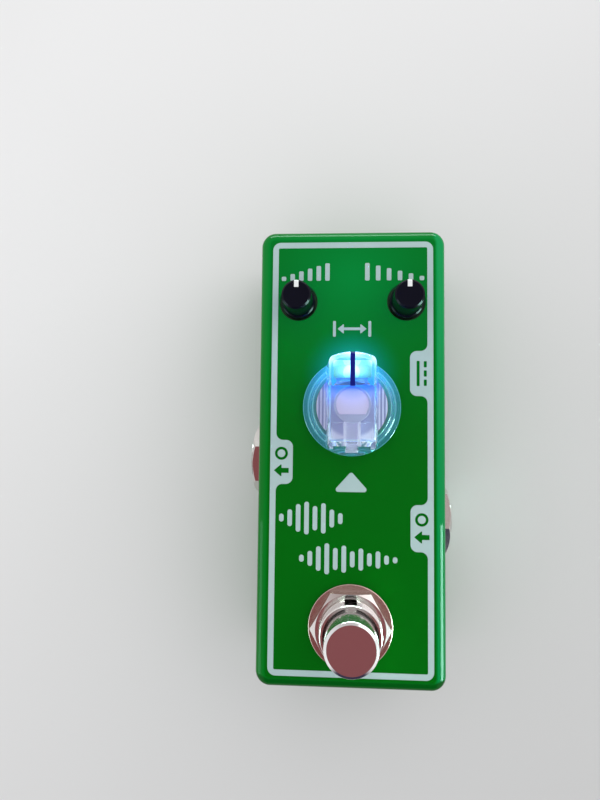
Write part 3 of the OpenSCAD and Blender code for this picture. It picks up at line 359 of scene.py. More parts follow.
enamel = finish("gloss_enamel", (0.0006, 0.128, 0.0050), 0.4, spread=0.04, mottle=0.08, mottle_scale=60,
                grain_scale=700, bump=0.03, bump_depth=0.02, coat_roughness=0.03, Coat_IOR=1.35,
                Specular_IOR_Level=0.0)
# Painted lamp light, as emission: blue round the lamp's hole, a paler spot beside it, and a faint green glow
# over the whole panel.
light_up(enamel, ((0, 0, 0), (11, 11, 11), (0.05, 0.75, 1.0), (0.0, 0.30, 0.55)),
         ((0, -0.3, 0), (5.5, 4, 11), (0.45, 0.60, 0.35), (0.10, 0.30, 0.20)),
         ((0, 20, 0), (50, 42, 52), (0.0, 0.105, 0.034), (0.0, 0.105, 0.034)))
# Painted light and shade: the coat is painted lighter where it turns over the edge and down the walls, palest
# along the right edge as if a window lit it, and painted darker at the near end as shade.
enamel_tree = enamel.node_tree
enamel_axes = axes_of(enamel_tree, enamel_tree.nodes.new("ShaderNodeNewGeometry").outputs["Normal"])
overlay(enamel, fade(enamel_tree, enamel_axes["Z"], 0.9998, 0.985), (0.001, 0.175, 0.014))
right_edge_painted_light = math_node(
    enamel_tree, "MULTIPLY", fade(enamel_tree, enamel_axes["X"], 0.05, 0.25),
    fade(enamel_tree, enamel_axes["Z"], 0.05, 0.30))
overlay(enamel, right_edge_painted_light, (0.001, 0.27, 0.065))
overlay(enamel, fade(enamel_tree, enamel_axes["Y"], -0.05, -0.25), (0.001, 0.095, 0.007))
# Polish takes the panel down a little, and the walls keep their full gloss.
link(enamel_tree, fade(enamel_tree, enamel_axes["Z"], 0.98, 0.05, 0.27, 0.9, "LINEAR"),
     enamel_tree.nodes["Principled BSDF"].inputs["Coat Weight"])
dress(enamel, "enclosure")

# Panel print. Silvery white ink, screened on the enamel in one pass: a frame with three tabs at the sockets,
# where plain signs are left open in the ink, an index for the main dial, and plain scale marks.
PANEL_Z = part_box("enclosure")[1].z
INK_THICK = 0.05 * MM
INK_SUNK = 0.01 * MM


def rounded(corners, steps=7):
    """A closed outline through corners (x, y, radius), with each corner turned by its radius."""
    outline = []
    for i, (x, y, radius) in enumerate(corners):
        here = Vector((x, y))
        to_last = (Vector(corners[i - 1][:2]) - here).normalized()
        to_next = (Vector(corners[(i + 1) % len(corners)][:2]) - here).normalized()
        half = to_last.angle(to_next) / 2
        middle = here + (to_last + to_next).normalized() * (radius / math.sin(half))
        start = here + to_last * (radius / math.tan(half)) - middle
        end = here + to_next * (radius / math.tan(half)) - middle
        first = math.atan2(start.y, start.x)
        sweep = (math.atan2(end.y, end.x) - first + math.pi) % (2 * math.pi) - math.pi
        for k in range(steps + 1):
            angle = first + sweep * k / steps
            outline.append((middle.x + radius * math.cos(angle), middle.y + radius * math.sin(angle)))
    return outline


def bar(x, y, width, height, radius):
    """An upright bar centred at x, y."""
    return rounded([(x + i * width / 2, y + j * height / 2, radius)
                    for i, j in ((-1, -1), (1, -1), (1, 1), (-1, 1))], 4)


def disc(x, y, radius, steps=28):
    return [(x + radius * math.cos(2 * math.pi * k / steps), y + radius * math.sin(2 * math.pi * k / steps))
            for k in range(steps)]


def ink_piece(name, loops):
    """A thin flat piece on the panel, from closed outlines in millimetres, where an outline inside
    another is open."""
    curve = bpy.data.curves.new(name, "CURVE")
    curve.dimensions = "2D"
    curve.fill_mode = "BOTH"
    curve.extrude = (INK_THICK + INK_SUNK) / 2
    for loop in loops:
        spline = curve.splines.new("POLY")
        spline.points.add(len(loop) - 1)
        spline.use_cyclic_u = True
        for point, (x, y) in zip(spline.points, loop):
            point.co = (x * MM, y * MM, 0, 1)
    shape = mesh_piece(name + "_outline", curve)
    bpy.context.view_layer.update()
    mesh = bpy.data.meshes.new_from_object(shape.evaluated_get(bpy.context.evaluated_depsgraph_get()))
    bpy.data.objects.remove(shape)
    mesh.transform(Matrix.Translation((0, 0, PANEL_Z + (INK_THICK - INK_SUNK) / 2)))
    mesh.name = name
    mesh.materials.clear()
    mesh.materials.append(ink)
    piece = mesh_piece(name, mesh)
    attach(piece, "pedal")


ink = finish("silver_ink", (0.415, 0.555, 0.550), 0.4, spread=0.1, mottle=0.12, mottle_scale=300,
             grain_scale=3000, bump=0.12, bump_depth=0.01, Specular_IOR_Level=0.2)
# Painted lamp light on the ink round the lamp's hole, as emission.
light_up(ink, ((0, 0, 0), (10, 10, 10), (0.2, 0.7, 0.9), (0.0, 0.2, 0.3)))

FRAME_X, FRAME_Y, FRAME_HALF = 16.05, 43.8, 0.6
FRAME_IN_R, FRAME_OUT_R, TAB_R = 0.3, 1.6, 1.4
in_x, in_y = FRAME_X - FRAME_HALF, FRAME_Y - FRAME_HALF
out_x, out_y = FRAME_X + FRAME_HALF, FRAME_Y + FRAME_HALF
TABS = {"power": (21.49, 12.21, 11.9), "input": (-9.9, -19.28, 12.0), "output": (2.96, -6.05, -12.0)}


def tab_corners(top, bottom, edge_x):
    side = math.copysign(in_x, edge_x)
    steps = [(side, top), (edge_x, top), (edge_x, bottom), (side, bottom)]
    return [(x, y, TAB_R) for x, y in (steps if edge_x > 0 else reversed(steps))]


frame_inside = rounded(
    [(-in_x, in_y, FRAME_IN_R), (in_x, in_y, FRAME_IN_R), *tab_corners(*TABS["power"]),
     *tab_corners(*TABS["input"]), (in_x, -in_y, FRAME_IN_R), (-in_x, -in_y, FRAME_IN_R),
     *tab_corners(*TABS["output"])])
frame_outside = rounded(
    [(x * out_x, y * out_y, FRAME_OUT_R) for x, y in ((-1, 1), (1, 1), (1, -1), (-1, -1))])


def arrow_left(x, y, length, height):
    """A short arrow that points to -X, with its tip at x."""
    neck, half, stem = x + 0.52 * length, height / 2, 0.19 * height
    return rounded([(x, y, 0.12), (neck, y - half, 0.12), (neck, y - stem, 0.05), (x + length, y - stem, 0.1),
                    (x + length, y + stem, 0.1), (neck, y + stem, 0.05), (neck, y + half, 0.12)], 3)


ARROW_L, ARROW_H, RING_OUT, RING_IN, SIGN_RISE = 3.1, 2.7, 1.35, 0.8, 1.75
signs = []
for tab, tip_x in (("output", -15.9), ("input", 12.7)):
    middle_y = (TABS[tab][0] + TABS[tab][1]) / 2
    ring_x = tip_x + ARROW_L / 2
    signs += [arrow_left(tip_x, middle_y - SIGN_RISE, ARROW_L, ARROW_H),
              disc(ring_x, middle_y + SIGN_RISE, RING_OUT), disc(ring_x, middle_y + SIGN_RISE, RING_IN)]
DASH_W, DASH_R = 0.62, 0.15
power_y = (TABS["power"][0] + TABS["power"][1]) / 2
signs.append(bar(13.55, power_y, DASH_W, 5.2, DASH_R))
signs += [bar(15.0, power_y + k * 1.9, DASH_W, 1.3, DASH_R) for k in (-1, 0, 1)]
ink_piece("panel_frame", [frame_outside, frame_inside, *signs])
ink_piece("main_mark", [rounded([(0, -3.35, 0.5), (3.75, -7.5, 0.5), (-3.75, -7.5, 0.5)])])

SCALE_FOOT, SCALE_BAR, SCALE_ROUND = 36.25, 0.95, 0.25
SCALE_LOW, SCALE_RISE, SCALE_COUNT = 0.9, 0.56, 6


def scale_bars(left_x, step, heights):
    return [bar(left_x + step * k, SCALE_FOOT + height / 2, SCALE_BAR, height, SCALE_ROUND)
            for k, height in enumerate(heights)]


rising = [SCALE_LOW + SCALE_RISE * k for k in range(SCALE_COUNT)]
ink_piece("level_marks", scale_bars(-14.3, 1.82, rising))
ink_piece("repeat_marks", scale_bars(3.1, 2.25, rising[::-1]))
TIME_Y = 26.1
ARROW_HALF, NECK, HEAD_HALF, STEM_HALF = 3.0, 1.7, 1.05, 0.28
time_arrow = rounded([
    (-ARROW_HALF, TIME_Y, 0.1), (-NECK, TIME_Y - HEAD_HALF, 0.1), (-NECK, TIME_Y - STEM_HALF, 0.05),
    (NECK, TIME_Y - STEM_HALF, 0.05), (NECK, TIME_Y - HEAD_HALF, 0.1), (ARROW_HALF, TIME_Y, 0.1),
    (NECK, TIME_Y + HEAD_HALF, 0.1), (NECK, TIME_Y + STEM_HALF, 0.05), (-NECK, TIME_Y + STEM_HALF, 0.05),
    (-NECK, TIME_Y + HEAD_HALF, 0.1)], 3)
ink_piece("time_marks", [bar(-3.65, TIME_Y, 0.6, 3.3, 0.2), time_arrow, bar(3.65, TIME_Y, 0.6, 3.3, 0.2)])

WAVE_ROWS = (
    (-12.9, -14.2, (1.6, 3.4, 5.6, 6.6, 4.9, 6.1, 3.6, 2.2)),
    (-21.0, -10.0, (1.4, 3.0, 4.9, 6.2, 4.4, 5.4, 3.2, 4.4, 2.6, 3.4, 1.8, 1.2)),
)
WAVE_STEP, WAVE_BAR, WAVE_ROUND = 1.72, 0.95, 0.45
wave_bars = []
for row_y, left_x, heights in WAVE_ROWS:
    wave_bars += [bar(left_x + WAVE_STEP * k, row_y, WAVE_BAR, height, WAVE_ROUND)
                  for k, height in enumerate(heights)]
ink_piece("wave_marks", wave_bars)

# Base. A pressed steel plate in satin black powder coat closes the box, held by countersunk zinc-plated
# screws in the cast posts, and a glued rubber pad keeps the pedal from sliding.
dress(finish("black_powder_coat", (0.018, 0.018, 0.020), 0.55, spread=0.2, grain_scale=1600, bump=0.5,
             bump_depth=0.03), "base_plate")
dress(finish("zinc_plate", (0.55, 0.55, 0.57), 0.32, spread=0.2, metallic=1.0, grain_scale=1200, bump=0.1),
      "base_screws")
dress(finish("matt_rubber", (0.016, 0.016, 0.016), 0.85, spread=0.1, mottle=0.3, grain_scale=3000, bump=0.7,
             bump_depth=0.05), "rubber_pad")

# Small dials. Black moulded caps with a white inlaid mark, pushed on flatted plastic shafts that stand in
# plain holes in the panel.
black_plastic = finish("black_moulding", (0.004, 0.004, 0.010), 0.20, spread=0.08, mottle=0.3,
                       grain_scale=3500, bump=0.12, bump_depth=0.008, Specular_IOR_Level=0.09)
dress(black_plastic, "level_knob", "repeat_knob")
dress(finish("white_inlay", (0.82, 0.84, 0.84), 0.35, spread=0.1, mottle=0.05, bump=0.08),
      "level_index", "repeat_index")
dress(finish("pale_plastic", (0.60, 0.60, 0.66), 0.5, spread=0.1, mottle=0.08, grain_scale=2000),
      "level_shaft", "repeat_shaft")

# Main dial. One clear moulding with a skirt, a drum and a tall grip bar, hollow underneath and over the lamp,
# glued over a pale core that grips the control's shaft. Its dark blue line is inlaid.


def lathe(profile, segments=128):
    """A closed mesh in millimetres, turned about the Z axis from a closed profile of (radius, height)."""
    form = bmesh.new()
    rings = []
    for k in range(segments):
        turn = 2 * math.pi * k / segments
        rings.append([form.verts.new((r * math.cos(turn), r * math.sin(turn), z)) for r, z in profile])
    for k, ring in enumerate(rings):
        after = rings[(k + 1) % segments]
        for j in range(len(profile)):
            j_next = (j + 1) % len(profile)
            form.faces.new((ring[j], after[j], after[j_next], ring[j_next]))
    return closed_mesh(form)


def loft(outlines):
    """A closed mesh in millimetres through level outlines of (height, points), all with as many points."""
    form = bmesh.new()
    rings = [[form.verts.new((x, y, z)) for x, y in outline] for z, outline in outlines]
    for ring, above in zip(rings, rings[1:]):
        for j in range(len(ring)):
            j_next = (j + 1) % len(ring)
            form.faces.new((ring[j], ring[j_next], above[j_next], above[j]))
    form.faces.new(rings[0][::-1])
    form.faces.new(rings[-1])
    return closed_mesh(form)


def closed_mesh(form):
    bmesh.ops.remove_doubles(form, verts=form.verts, dist=0.0001)
    bmesh.ops.recalc_face_normals(form, faces=form.faces)
    mesh = bpy.data.meshes.new("form")
    form.to_mesh(mesh)
    form.free()
    return mesh


def carve(mesh, tool, operation="DIFFERENCE"):
    """Cuts one closed mesh with another, or joins them."""
    target = mesh_piece("target", mesh)
    cutter = mesh_piece("cutter", tool)
    cut = target.modifiers.new("cut", "BOOLEAN")
    cut.operation = operation
    cut.solver = "EXACT"
    cut.object = cutter
    bpy.context.view_layer.update()
    result = bpy.data.meshes.new_from_object(target.evaluated_get(bpy.context.evaluated_depsgraph_get()))
    bpy.data.objects.remove(target)
    bpy.data.objects.remove(cutter)
    return result


def block(x0, x1, y0, y1, z0, z1, radius=0.05):
    """An upright block with rounded corners."""
    outline = rounded([(x0, y0, radius), (x1, y0, radius), (x1, y1, radius), (x0, y1, radius)], 4)
    return loft([(z0, outline), (z1, outline)])


def set_piece(name, mesh, spot, material, body, node, sharp_degrees=30):
    """Places a mesh made in millimetres on its body, in place of its plainer CAD node."""
    mesh.transform(Matrix.Translation(spot) @ Matrix.Scale(MM, 4))
    mesh.polygons.foreach_set("use_smooth", [True] * len(mesh.polygons))
    mesh.set_sharp_from_angle(angle=math.radians(sharp_degrees))
    mesh.materials.clear()
    mesh.materials.append(material)
    piece = mesh_piece(name, mesh)
    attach(piece, body)
    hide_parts(node)
    return piece


dial_low, dial_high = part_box("time_knob")
DIAL_SPOT = Vector(((dial_low.x + dial_high.x) / 2, (dial_low.y + dial_high.y) / 2, 0))
BAR_FOOT, BAR_SHOULDER, BAR_ROUND = 33.9, 44.2, 0.6
BAR_HALF_FOOT, BAR_HALF_TOP = 5.4, 4.4
NOSE_REACH, NOSE_LEAN, NOSE_ROUND = 9.75, 0.15, 1.05
BACK_REACH, BACK_LEAN, LEAN_FOOT, LEAN_HEIGHT, BACK_ROUND = -9.75, 2.85, 35.6, 9.2, 0.5


def grip_outline(z, inset=0.0):
    """The grip bar's outline at a height, drawn in by an inset, from its right side round its nose."""
    rise = min((z - BAR_FOOT) / (BAR_SHOULDER - BAR_FOOT), 1)
    half = BAR_HALF_FOOT + (BAR_HALF_TOP - BAR_HALF_FOOT) * rise - inset
    reach = NOSE_REACH + NOSE_LEAN * rise - inset
    back = BACK_REACH + BACK_LEAN * max(0, (z - LEAN_FOOT) / LEAN_HEIGHT) + inset
    corner = NOSE_ROUND - inset / 2
    middle_x = half - corner
    middle_y = math.sqrt((reach - corner) ** 2 - middle_x ** 2)
    turn = math.atan2(middle_y, middle_x)
    points = [(middle_x + corner * math.cos(turn * k / 8), middle_y + corner * math.sin(turn * k / 8))
              for k in range(9)]
    sweep = math.pi - 2 * turn
    points += [(reach * math.cos(turn + sweep * k / 20), reach * math.sin(turn + sweep * k / 20))
               for k in range(1, 20)]
    points += [(-x, y) for x, y in reversed(points[:9])]
    side_back = max(back, -math.sqrt(reach ** 2 - half ** 2))
    points += [(-half, side_back + BACK_ROUND), (-half + 0.3 * BACK_ROUND, side_back + 0.3 * BACK_ROUND)]
    across = half - BACK_ROUND
    for k in range(15):
        x = -across + 2 * across * k / 14
        points.append((x, max(back, -math.sqrt(reach ** 2 - x ** 2))))
    return points + [(half - 0.3 * BACK_ROUND, side_back + 0.3 * BACK_ROUND), (half, side_back + BACK_ROUND)]


bar_levels = [(z, grip_outline(z)) for z in (BAR_FOOT, 34.7, LEAN_FOOT, 36.5, 38, 40, 42, BAR_SHOULDER)]
for k in range(1, 6):
    tilt = math.radians(18 * k)
    z = BAR_SHOULDER + BAR_ROUND * math.sin(tilt)
    bar_levels.append((z, grip_outline(z, BAR_ROUND * (1 - math.cos(tilt)))))
SKIRT_PROFILE = [
    (3.0, 33.0), (9.6, 33.0), (9.75, 33.04), (9.86, 33.15), (9.9, 33.3), (9.9, 34.3), (9.86, 34.45),
    (9.75, 34.56), (9.6, 34.6)]
DRUM_PROFILE = [
    (9.12, 34.6), (8.93, 34.64), (8.76, 34.74), (8.63, 34.92), (8.56, 35.15), (7.98, 36.80), (7.88, 37.0),
    (7.72, 37.14), (7.5, 37.2), (3.0, 37.2)]
dial_mesh = carve(lathe(SKIRT_PROFILE + DRUM_PROFILE), loft(bar_levels), "UNION")
UNDER, SKIRT_ROOM_TOP, CORE_ROOM_TOP, BACK_ROOM_TOP, POCKET_TOP = 32, 34.0, 36.55, 40.2, 43.1
CORE_ROOM_R, CORE_FIRST, CORE_SWEEP = 7.2, 54.31, 288.62
core_turns = [math.radians(CORE_FIRST - CORE_SWEEP * k / 80) for k in range(81)]
core_room = [(CORE_ROOM_R * math.cos(turn), CORE_ROOM_R * math.sin(turn)) for turn in core_turns]
core_room += [(-4.2, 4.0), (4.2, 4.0)]
core_room.reverse()
skirt_room = disc(0, 0, 8.9, 112)
hub_room = disc(0, 0, 3.5, 64)
for hollow in (
        loft([(UNDER, skirt_room), (SKIRT_ROOM_TOP, skirt_room)]),
        loft([(UNDER, core_room), (CORE_ROOM_TOP, core_room)]),
        block(-1.3, 1.3, -8.6, -3, UNDER, CORE_ROOM_TOP),
        block(-3.6, 3.6, 5, 8.3, UNDER, POCKET_TOP, 0.4),
        block(-3.6, -1, -7, -3.2, UNDER, BACK_ROOM_TOP, 0.2),
        block(1, 3.6, -7, -3.2, UNDER, BACK_ROOM_TOP, 0.2),
        loft([(UNDER, hub_room), (POCKET_TOP, hub_room)]),
        block(-0.48, 0.48, 3.38, 11, 44.18, 46, 0.02)):
    dial_mesh = carve(dial_mesh, hollow)
clear = finish("clear_moulding", (0.94, 0.95, 1.0), 0.03, spread=0.03, mottle=0.03, grain_scale=900,
               bump=0.02, bump_depth=0.01, Transmission_Weight=0.985, IOR=1.49, Specular_IOR_Level=0.4)
# Painted lamp light in the clear moulding, as emission in layers: blue low down, white along the grip bar's
# nose and top, and a faint glow over the whole dial.
light_up(clear,
         ((0, -2.5, 4), (7.5, 8, 12), (0.0, 0.25, 0.9), (0.0, 0.10, 0.7)),
         ((0, 2.3, 10.9), (7.5, 2.2, 4.0), (1.2, 1.3, 1.3), (0.2, 0.5, 0.6)),
         ((-3.9, 1.2, 10.4), (2.2, 2.4, 4.5), (1.2, 1.2, 1.2), (0.1, 0.6, 0.7)),
         ((3.9, 1.2, 10.4), (2.2, 2.4, 4.5), (1.2, 1.2, 1.2), (0.1, 0.6, 0.7)),
         ((0, -0.5, 9.5), (7.0, 3.6, 3.6), (0.60, 1.25, 1.0), (0.1, 0.7, 0.7)),
         ((0, -1, 0.4), (13, 10, 3.6), (0.0, 0.20, 0.8), (0.0, 0.16, 0.7)),
         ((0, -5, 0.2), (26, 26, 3.4), (0.0, 0.12, 0.26), (0.0, 0.12, 0.24)),
         ((0, -5, 6), (26, 26, 26), (0.02, 0.03, 0.05), (0.02, 0.03, 0.05)))
# Painted highlight: the clear moulding's rounded edges get a faint emission where reflected light would draw
# bright rings.
clear_tree = clear.node_tree
clear_shader = clear_tree.nodes["Principled BSDF"]
clear_facing = axes_of(clear_tree, clear_tree.nodes.new("ShaderNodeNewGeometry").outputs["Normal"])
painted_edge_highlight_mask = math_node(
    clear_tree, "MULTIPLY", fade(clear_tree, clear_facing["Z"], 0.97, 0.88),
    fade(clear_tree, clear_facing["Z"], 0.40, 0.55))
painted_edge_highlight = scaled(clear_tree, (0.04, 0.14, 0.18), painted_edge_highlight_mask)
lamp_light = clear_shader.inputs["Emission Color"].links[0].from_socket
clear_light = vector_node(clear_tree, "ADD", lamp_light, painted_edge_highlight)
link(clear_tree, clear_light, clear_shader.inputs["Emission Color"])
set_piece("clear_dial", dial_mesh, DIAL_SPOT, clear, "main_dial", "time_knob")
navy = finish("navy_inlay", (0.0, 0.004, 0.20), 0.3, spread=0.06, mottle=0.1, Specular_IOR_Level=0.2)
inlay_mesh = carve(block(-0.46, 0.46, 3.42, 11, 44.2, 46, 0.02), loft(bar_levels), "INTERSECT")
set_piece("navy_line", inlay_mesh, DIAL_SPOT, navy, "main_dial", "time_index")
# Painted light, as emission: the lamp's blue on the core and the shaft near it, and a faint even glow over
# both.
LAMP_ON_CORE = (((0, -3.2, 2), (7, 5.5, 14), (0.0, 0.45, 1.2), (0.0, 0.20, 0.9)),)
core_plastic = finish("core_plastic", (0.86, 0.82, 0.90), 0.45, spread=0.1, mottle=0.06, grain_scale=1500)
light_up(core_plastic, *LAMP_ON_CORE, ((0, -9, 4), (40, 40, 40), (0.08, 0.08, 0.17), (0.08, 0.08, 0.17)))
dress(core_plastic, "time_core")
shaft_plastic = finish("shaft_moulding", (0.60, 0.52, 0.60), 0.45, spread=0.1, mottle=0.06, grain_scale=1500)
light_up(shaft_plastic, *LAMP_ON_CORE, ((0, -7, 8), (40, 40, 40), (0.22, 0.19, 0.36), (0.22, 0.19, 0.36)))
dress(shaft_plastic, "time_shaft")
# Painted shade: the core is painted darker in its grooves and beside its hub, where shade falls, and a deeper
# lilac towards the top of its hub. Near the lamp it is painted blue for the lamp's light.
core_tree = core_plastic.node_tree
core_place = core_tree.nodes.new("ShaderNodeTexCoord").outputs["Object"]
core_axes = axes_of(core_tree, core_place)
core_groove = fade(core_tree, core_axes["Z"], 36.45 * MM, 36.15 * MM)
from_axis = vector_node(core_tree, "SUBTRACT", core_place, DIAL_SPOT)
core_radius = vector_node(core_tree, "LENGTH", vector_node(core_tree, "MULTIPLY", from_axis, (1, 1, 0)))
core_inner = fade(core_tree, core_radius, 6.3 * MM, 5.3 * MM)
core_side = math_node(core_tree, "ABSOLUTE", core_axes["X"])
core_pocket = math_node(core_tree, "MULTIPLY", core_inner, fade(core_tree, core_side, 1.3 * MM, 1.9 * MM))
core_wing = fade(core_tree, core_side, 4.0 * MM, 4.4 * MM)
core_low = math_node(core_tree, "MAXIMUM", core_pocket, core_wing)
core_shade = math_node(core_tree, "MULTIPLY", core_groove, core_low)
overlay(core_plastic, core_shade, (0.31, 0.31, 0.49))
overlay(core_plastic, fade(core_tree, core_axes["Z"], 40.5 * MM, 42.5 * MM), (0.44, 0.44, 0.58))
# Painted lamp light: near the lamp, the core, the shaft and the clear moulding are painted blue in their own
# colour.
for moulding, tint, offset, squeeze, far, near in (
        (core_plastic, (0.02, 0.10, 0.5), (0, 0, 0), (1, 1, 0.1), 6.9, 3.6),
        (shaft_plastic, (0.02, 0.10, 0.5), (0, 0, 0), (1, 1, 0.1), 6.9, 3.6),
        (clear, (0.06, 0.40, 1.0), (0, -3.0, 0), (0.3, 1, 0.1), 2.2, 1.0)):
    lit_tree = moulding.node_tree
    lit_place = lit_tree.nodes.new("ShaderNodeTexCoord")
    lit_place.object = nodes["lamp"]
    lit_middle = LAMP_SPOT + Vector(offset) * MM
    from_lamp = vector_node(lit_tree, "SUBTRACT", lit_place.outputs["Object"], lit_middle)
    lit_span = vector_node(lit_tree, "LENGTH", vector_node(lit_tree, "MULTIPLY", from_lamp, squeeze))
    overlay(moulding, fade(lit_tree, lit_span, far * MM, near * MM), tint)
# Painted reflection: the skirt, standing close over the enamel, is painted teal for the green panel and the
# lamp's light that show through it.
clear_place = axes_of(clear_tree, clear_tree.nodes.new("ShaderNodeTexCoord").outputs["Object"])
overlay(clear, fade(clear_tree, clear_place["Z"], 35.0 * MM, 34.7 * MM), (0.35, 0.88, 0.95))
lens = finish("lit_epoxy", (0.4, 0.8, 1.0), 0.2, spread=0.05, mottle=0.1, Transmission_Weight=0.2)
light_up(lens, ((0, 0, 0), (60, 60, 60), (0.40, 0.50, 0.40), (0.40, 0.50, 0.40)))
dress(lens, "lamp")

# Foot switch. A turned and plated bush with a fine thread and a keyway, held by a washer and a hexagonal nut
# on the panel and a nut under it, with a polished plunger in its bore and a spring below.
CREST_END, ROOT_START, ROOT_END = 0.5, 0.61, 0.82


def thread(radius, depth, low, high, pitch):
    """Points of a thread's outline between two heights, as a row of crests and roots."""
    points = []
    turns = int((high - low) / pitch)
    for k in range(turns):
        z = low + k * pitch
        points += [(radius, z), (radius, z + CREST_END * pitch), (radius - depth, z + ROOT_START * pitch),
                   (radius - depth, z + ROOT_END * pitch)]
    return points + [(radius, low + turns * pitch)]


nickel = finish("nickel_plate", (0.78, 0.73, 0.71), 0.14, spread=0.08, mottle=0.06, metallic=1.0,
                grain_scale=1800, bump=0.02)
satin_nickel = finish("satin_nickel", (0.64, 0.47, 0.42), 0.24, spread=0.12, mottle=0.08, metallic=1.0,
                      grain_scale=1200, bump=0.12)
chrome = finish("polished_chrome", (0.84, 0.82, 0.82), 0.12, spread=0.06, mottle=0.04, metallic=1.0,
                grain_scale=1500, bump=0.03)
# The polish leaves the button's wall slightly crowned, so its mirror image reaches over the washer to the
# panel. The wall also keeps a fine haze from its turning, and the flat top is polished clean.
CROWN = (0, 0, 0.055)
chrome_tree = chrome.node_tree
chrome_facing = chrome_tree.nodes.new("ShaderNodeNewGeometry").outputs["Normal"]
chrome_crowned = vector_node(chrome_tree, "NORMALIZE", vector_node(chrome_tree, "ADD", chrome_facing, CROWN))
link(chrome_tree, chrome_crowned, chrome_tree.nodes["Bump"].inputs["Normal"])
chrome_clean = fade(chrome_tree, axes_of(chrome_tree, chrome_facing)["Z"], 0.3, 0.8, 0.92, 1.0, "LINEAR")
link(chrome_tree, chrome_clean, chrome_tree.nodes["Principled BSDF"].inputs["Metallic"])
bush_low, bush_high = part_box("switch_bush")
BUSH_SPOT = Vector(((bush_low.x + bush_high.x) / 2, (bush_low.y + bush_high.y) / 2, 0))
bush_foot, bush_top = bush_low.z / MM, bush_high.z / MM
BUSH_R, BUSH_BORE, STEM_HOLE, BUSH_FLOOR = 6.0, 5.1, 2.65, 1.2
THREAD_DEPTH, THREAD_FOOT, THREAD_PITCH = 0.16, 32.86, 0.97
bush_mesh = lathe([
    (STEM_HOLE, bush_foot), (BUSH_R, bush_foot),
    *thread(BUSH_R, THREAD_DEPTH, THREAD_FOOT, bush_top - 0.3, THREAD_PITCH), (BUSH_R, bush_top - 0.15),
    (BUSH_R - 0.15, bush_top), (5.4, bush_top), (5.35, bush_top - 2.5), (BUSH_BORE, bush_top - 2.6),
    (BUSH_BORE, bush_foot + BUSH_FLOOR), (STEM_HOLE, bush_foot + BUSH_FLOOR)])
bush_mesh = carve(bush_mesh, block(-1.2, 1.2, 4.9, 7, 29.8, bush_top - 0.4))
set_piece("threaded_bush", bush_mesh, BUSH_SPOT, nickel, "pedal", "switch_bush", 25)

washer_foot = Vector((0, 0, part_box("switch_washer")[0].z))
washer_mesh = lathe([
    (6.15, 0), (8.38, 0), (8.5, 0.12), (8.5, 0.62), (8.45, 0.74), (8.34, 0.8), (6.3, 0.8), (6.15, 0.65)])
set_piece("foot_washer", washer_mesh, BUSH_SPOT + washer_foot, satin_nickel, "pedal", "switch_washer",
          20)

CHAMFER = math.radians(25)


def hex_nut(across_flats, bore, thick, crown, turn=0.0):
    """A nut that stands on z = 0, with its corners turned down to a cone outside the crown's radius."""
    corner = across_flats / math.sqrt(3)
    rim = corner + 0.3
    blank = lathe([(bore, 0), (rim, 0), (rim, thick - (rim - crown) * math.tan(CHAMFER)), (crown, thick),
                   (bore + 0.12, thick), (bore, thick - 0.12)])
    turns = [math.radians(turn + 60 * k) for k in range(6)]
    outline = [(corner * math.cos(angle), corner * math.sin(angle)) for angle in turns]
    return carve(blank, loft([(-1, outline), (thick + 1, outline)]), "INTERSECT")


nut_foot = Vector((0, 0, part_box("switch_nut")[0].z))
nut_mesh = hex_nut(across_flats=14, bore=6.05, thick=2.5, crown=6.98)
set_piece("foot_nut", nut_mesh, BUSH_SPOT + nut_foot, nickel, "pedal", "switch_nut", 15)

plunger_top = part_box("switch_plunger")[1].z / MM
STEM_R, STEM_FOOT, FLANGE_R, FLANGE_TOP, BUTTON_R, BUTTON_FOOT = 2.5, 25.05, 3.5, 26.25, 5, 35
plunger_mesh = lathe([
    (0, STEM_FOOT), (FLANGE_R, STEM_FOOT), (FLANGE_R, FLANGE_TOP), (STEM_R, FLANGE_TOP),
    (STEM_R, BUTTON_FOOT), (BUTTON_R, BUTTON_FOOT), (BUTTON_R, plunger_top - 0.34),
    (4.96, plunger_top - 0.28), (4.47, plunger_top), (0, plunger_top)])
set_piece("foot_button", plunger_mesh, BUSH_SPOT, chrome, "foot_plunger", "switch_plunger",
          20)
dress(satin_nickel, "switch_inner_nut", "switch_frame", "time_pot_washer", "time_pot_nut")


def coil(radius, wire, low, high, turns, steps=32, sides=10):
    """A closed round wire, wound about the Z axis between two heights."""
    form = bmesh.new()
    count = int(turns * steps)
    rings = []
    for k in range(count + 1):
        turn = 2 * math.pi * k / steps
        middle = low + wire + (high - low - 2 * wire) * k / count
        rings.append([])
        for j in range(sides):
            side = 2 * math.pi * j / sides
            out = radius + wire * math.cos(side)
            height = middle + wire * math.sin(side)
            rings[-1].append(form.verts.new((out * math.cos(turn), out * math.sin(turn), height)))
    for ring, after in zip(rings, rings[1:]):
        for j in range(sides):
            j_next = (j + 1) % sides
            form.faces.new((ring[j], ring[j_next], after[j_next], after[j]))
    form.faces.new(rings[0][::-1])
    form.faces.new(rings[-1])
    return closed_mesh(form)


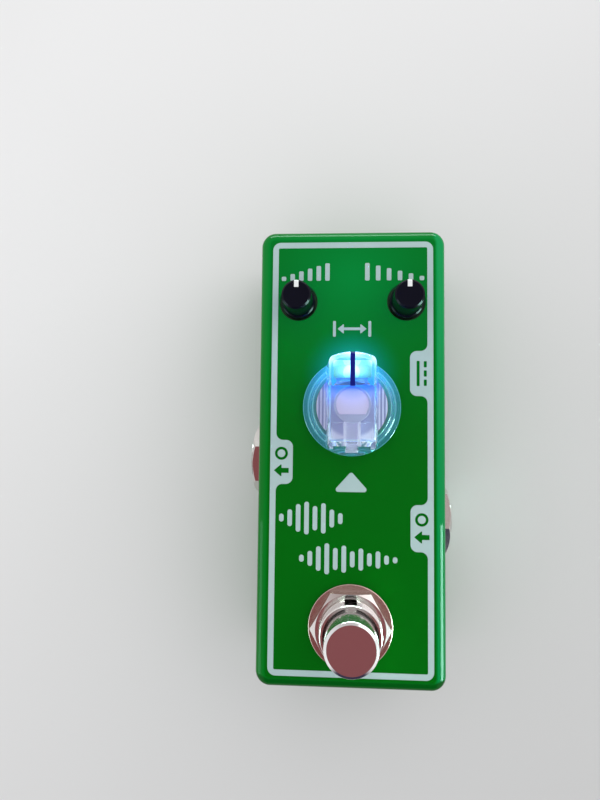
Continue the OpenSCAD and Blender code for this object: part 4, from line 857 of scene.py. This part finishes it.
spring_low, spring_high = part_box("switch_spring")
spring_steel = finish("drawn_spring", (0.5, 0.5, 0.52), 0.3, metallic=1.0)
SPRING_R, SPRING_WIRE, SPRING_TURNS, SPRING_SLACK = 3.7, 0.35, 3.5, 0.02
spring_top = spring_high.z / MM - SPRING_SLACK
spring_mesh = coil(SPRING_R, SPRING_WIRE, spring_low.z / MM, spring_top, SPRING_TURNS)
return_spring = set_piece(
    "return_spring", spring_mesh, BUSH_SPOT, spring_steel, "pedal", "switch_spring", 60)
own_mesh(return_spring)
dress(finish("blue_moulding", (0.02, 0.06, 0.30), 0.4, grain_scale=2000), "switch_body")
brass = finish("plain_brass", (0.62, 0.42, 0.14), 0.35, metallic=1.0, mottle=0.25)
dress(brass, "switch_lugs")

# Jacks. Black moulded bodies with brass springs hang under the board, and plated bushes come out through the
# side walls, each held by a washer and a chamfered hexagonal nut.
dress(nickel, "output_jack_bush", "output_jack_washer", "output_jack_nut")
dress(nickel, "input_jack_bush", "input_jack_washer")
input_low, input_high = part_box("input_jack_nut")
input_mesh = hex_nut(across_flats=13.5, bore=4.8, thick=2, crown=6.65, turn=10)
input_mesh.transform(Matrix.Rotation(math.pi / 2, 4, "Y"))
input_middle = (input_low + input_high) / 2
input_spot = Vector((input_low.x, input_middle.y, input_middle.z))
set_piece("input_nut", input_mesh, input_spot, nickel, "pedal", "input_jack_nut", 15)
jack_plastic = finish("jack_moulding", (0.014, 0.014, 0.015), 0.5, grain_scale=1800, bump=0.2)
dress(jack_plastic, "output_jack_body", "input_jack_body")
dress(brass, "output_jack_contacts", "input_jack_contacts")

# Power inlet. A black moulding with a round nose in the wall, a turned and plated pin pressed into its
# socket, and sprung brass contacts, soldered with a moulded header to its own board.
dress(jack_plastic, "inlet_body", "board_header")
dress(nickel, "inlet_pin")
dress(brass, "inlet_contacts")

# Controls and boards. Pressed control cases, glass fibre boards in green solder mask, and moulded parts
# soldered on them, all inside the closed box.
dress(finish("pressed_case", (0.10, 0.16, 0.12), 0.4, metallic=0.6), "level_pot", "repeat_pot", "time_pot")
dress(finish("solder_mask", (0.01, 0.10, 0.04), 0.35, mottle=0.5, mottle_scale=500, coat=0.4),
      "main_board", "power_board", "switch_board")
dress(finish("chip_epoxy", (0.02, 0.02, 0.022), 0.6, grain_scale=3000),
      "delay_chip", "amplifier_chip", "regulator", "resistors")
dress(finish("drawn_can", (0.62, 0.62, 0.64), 0.3, metallic=1.0), "capacitors")
dress(finish("tinned_copper", (0.6, 0.6, 0.6), 0.35, metallic=1.0), "lamp_leads")
dress(finish("cable_sleeve", (0.25, 0.25, 0.27), 0.6), "switch_cable")
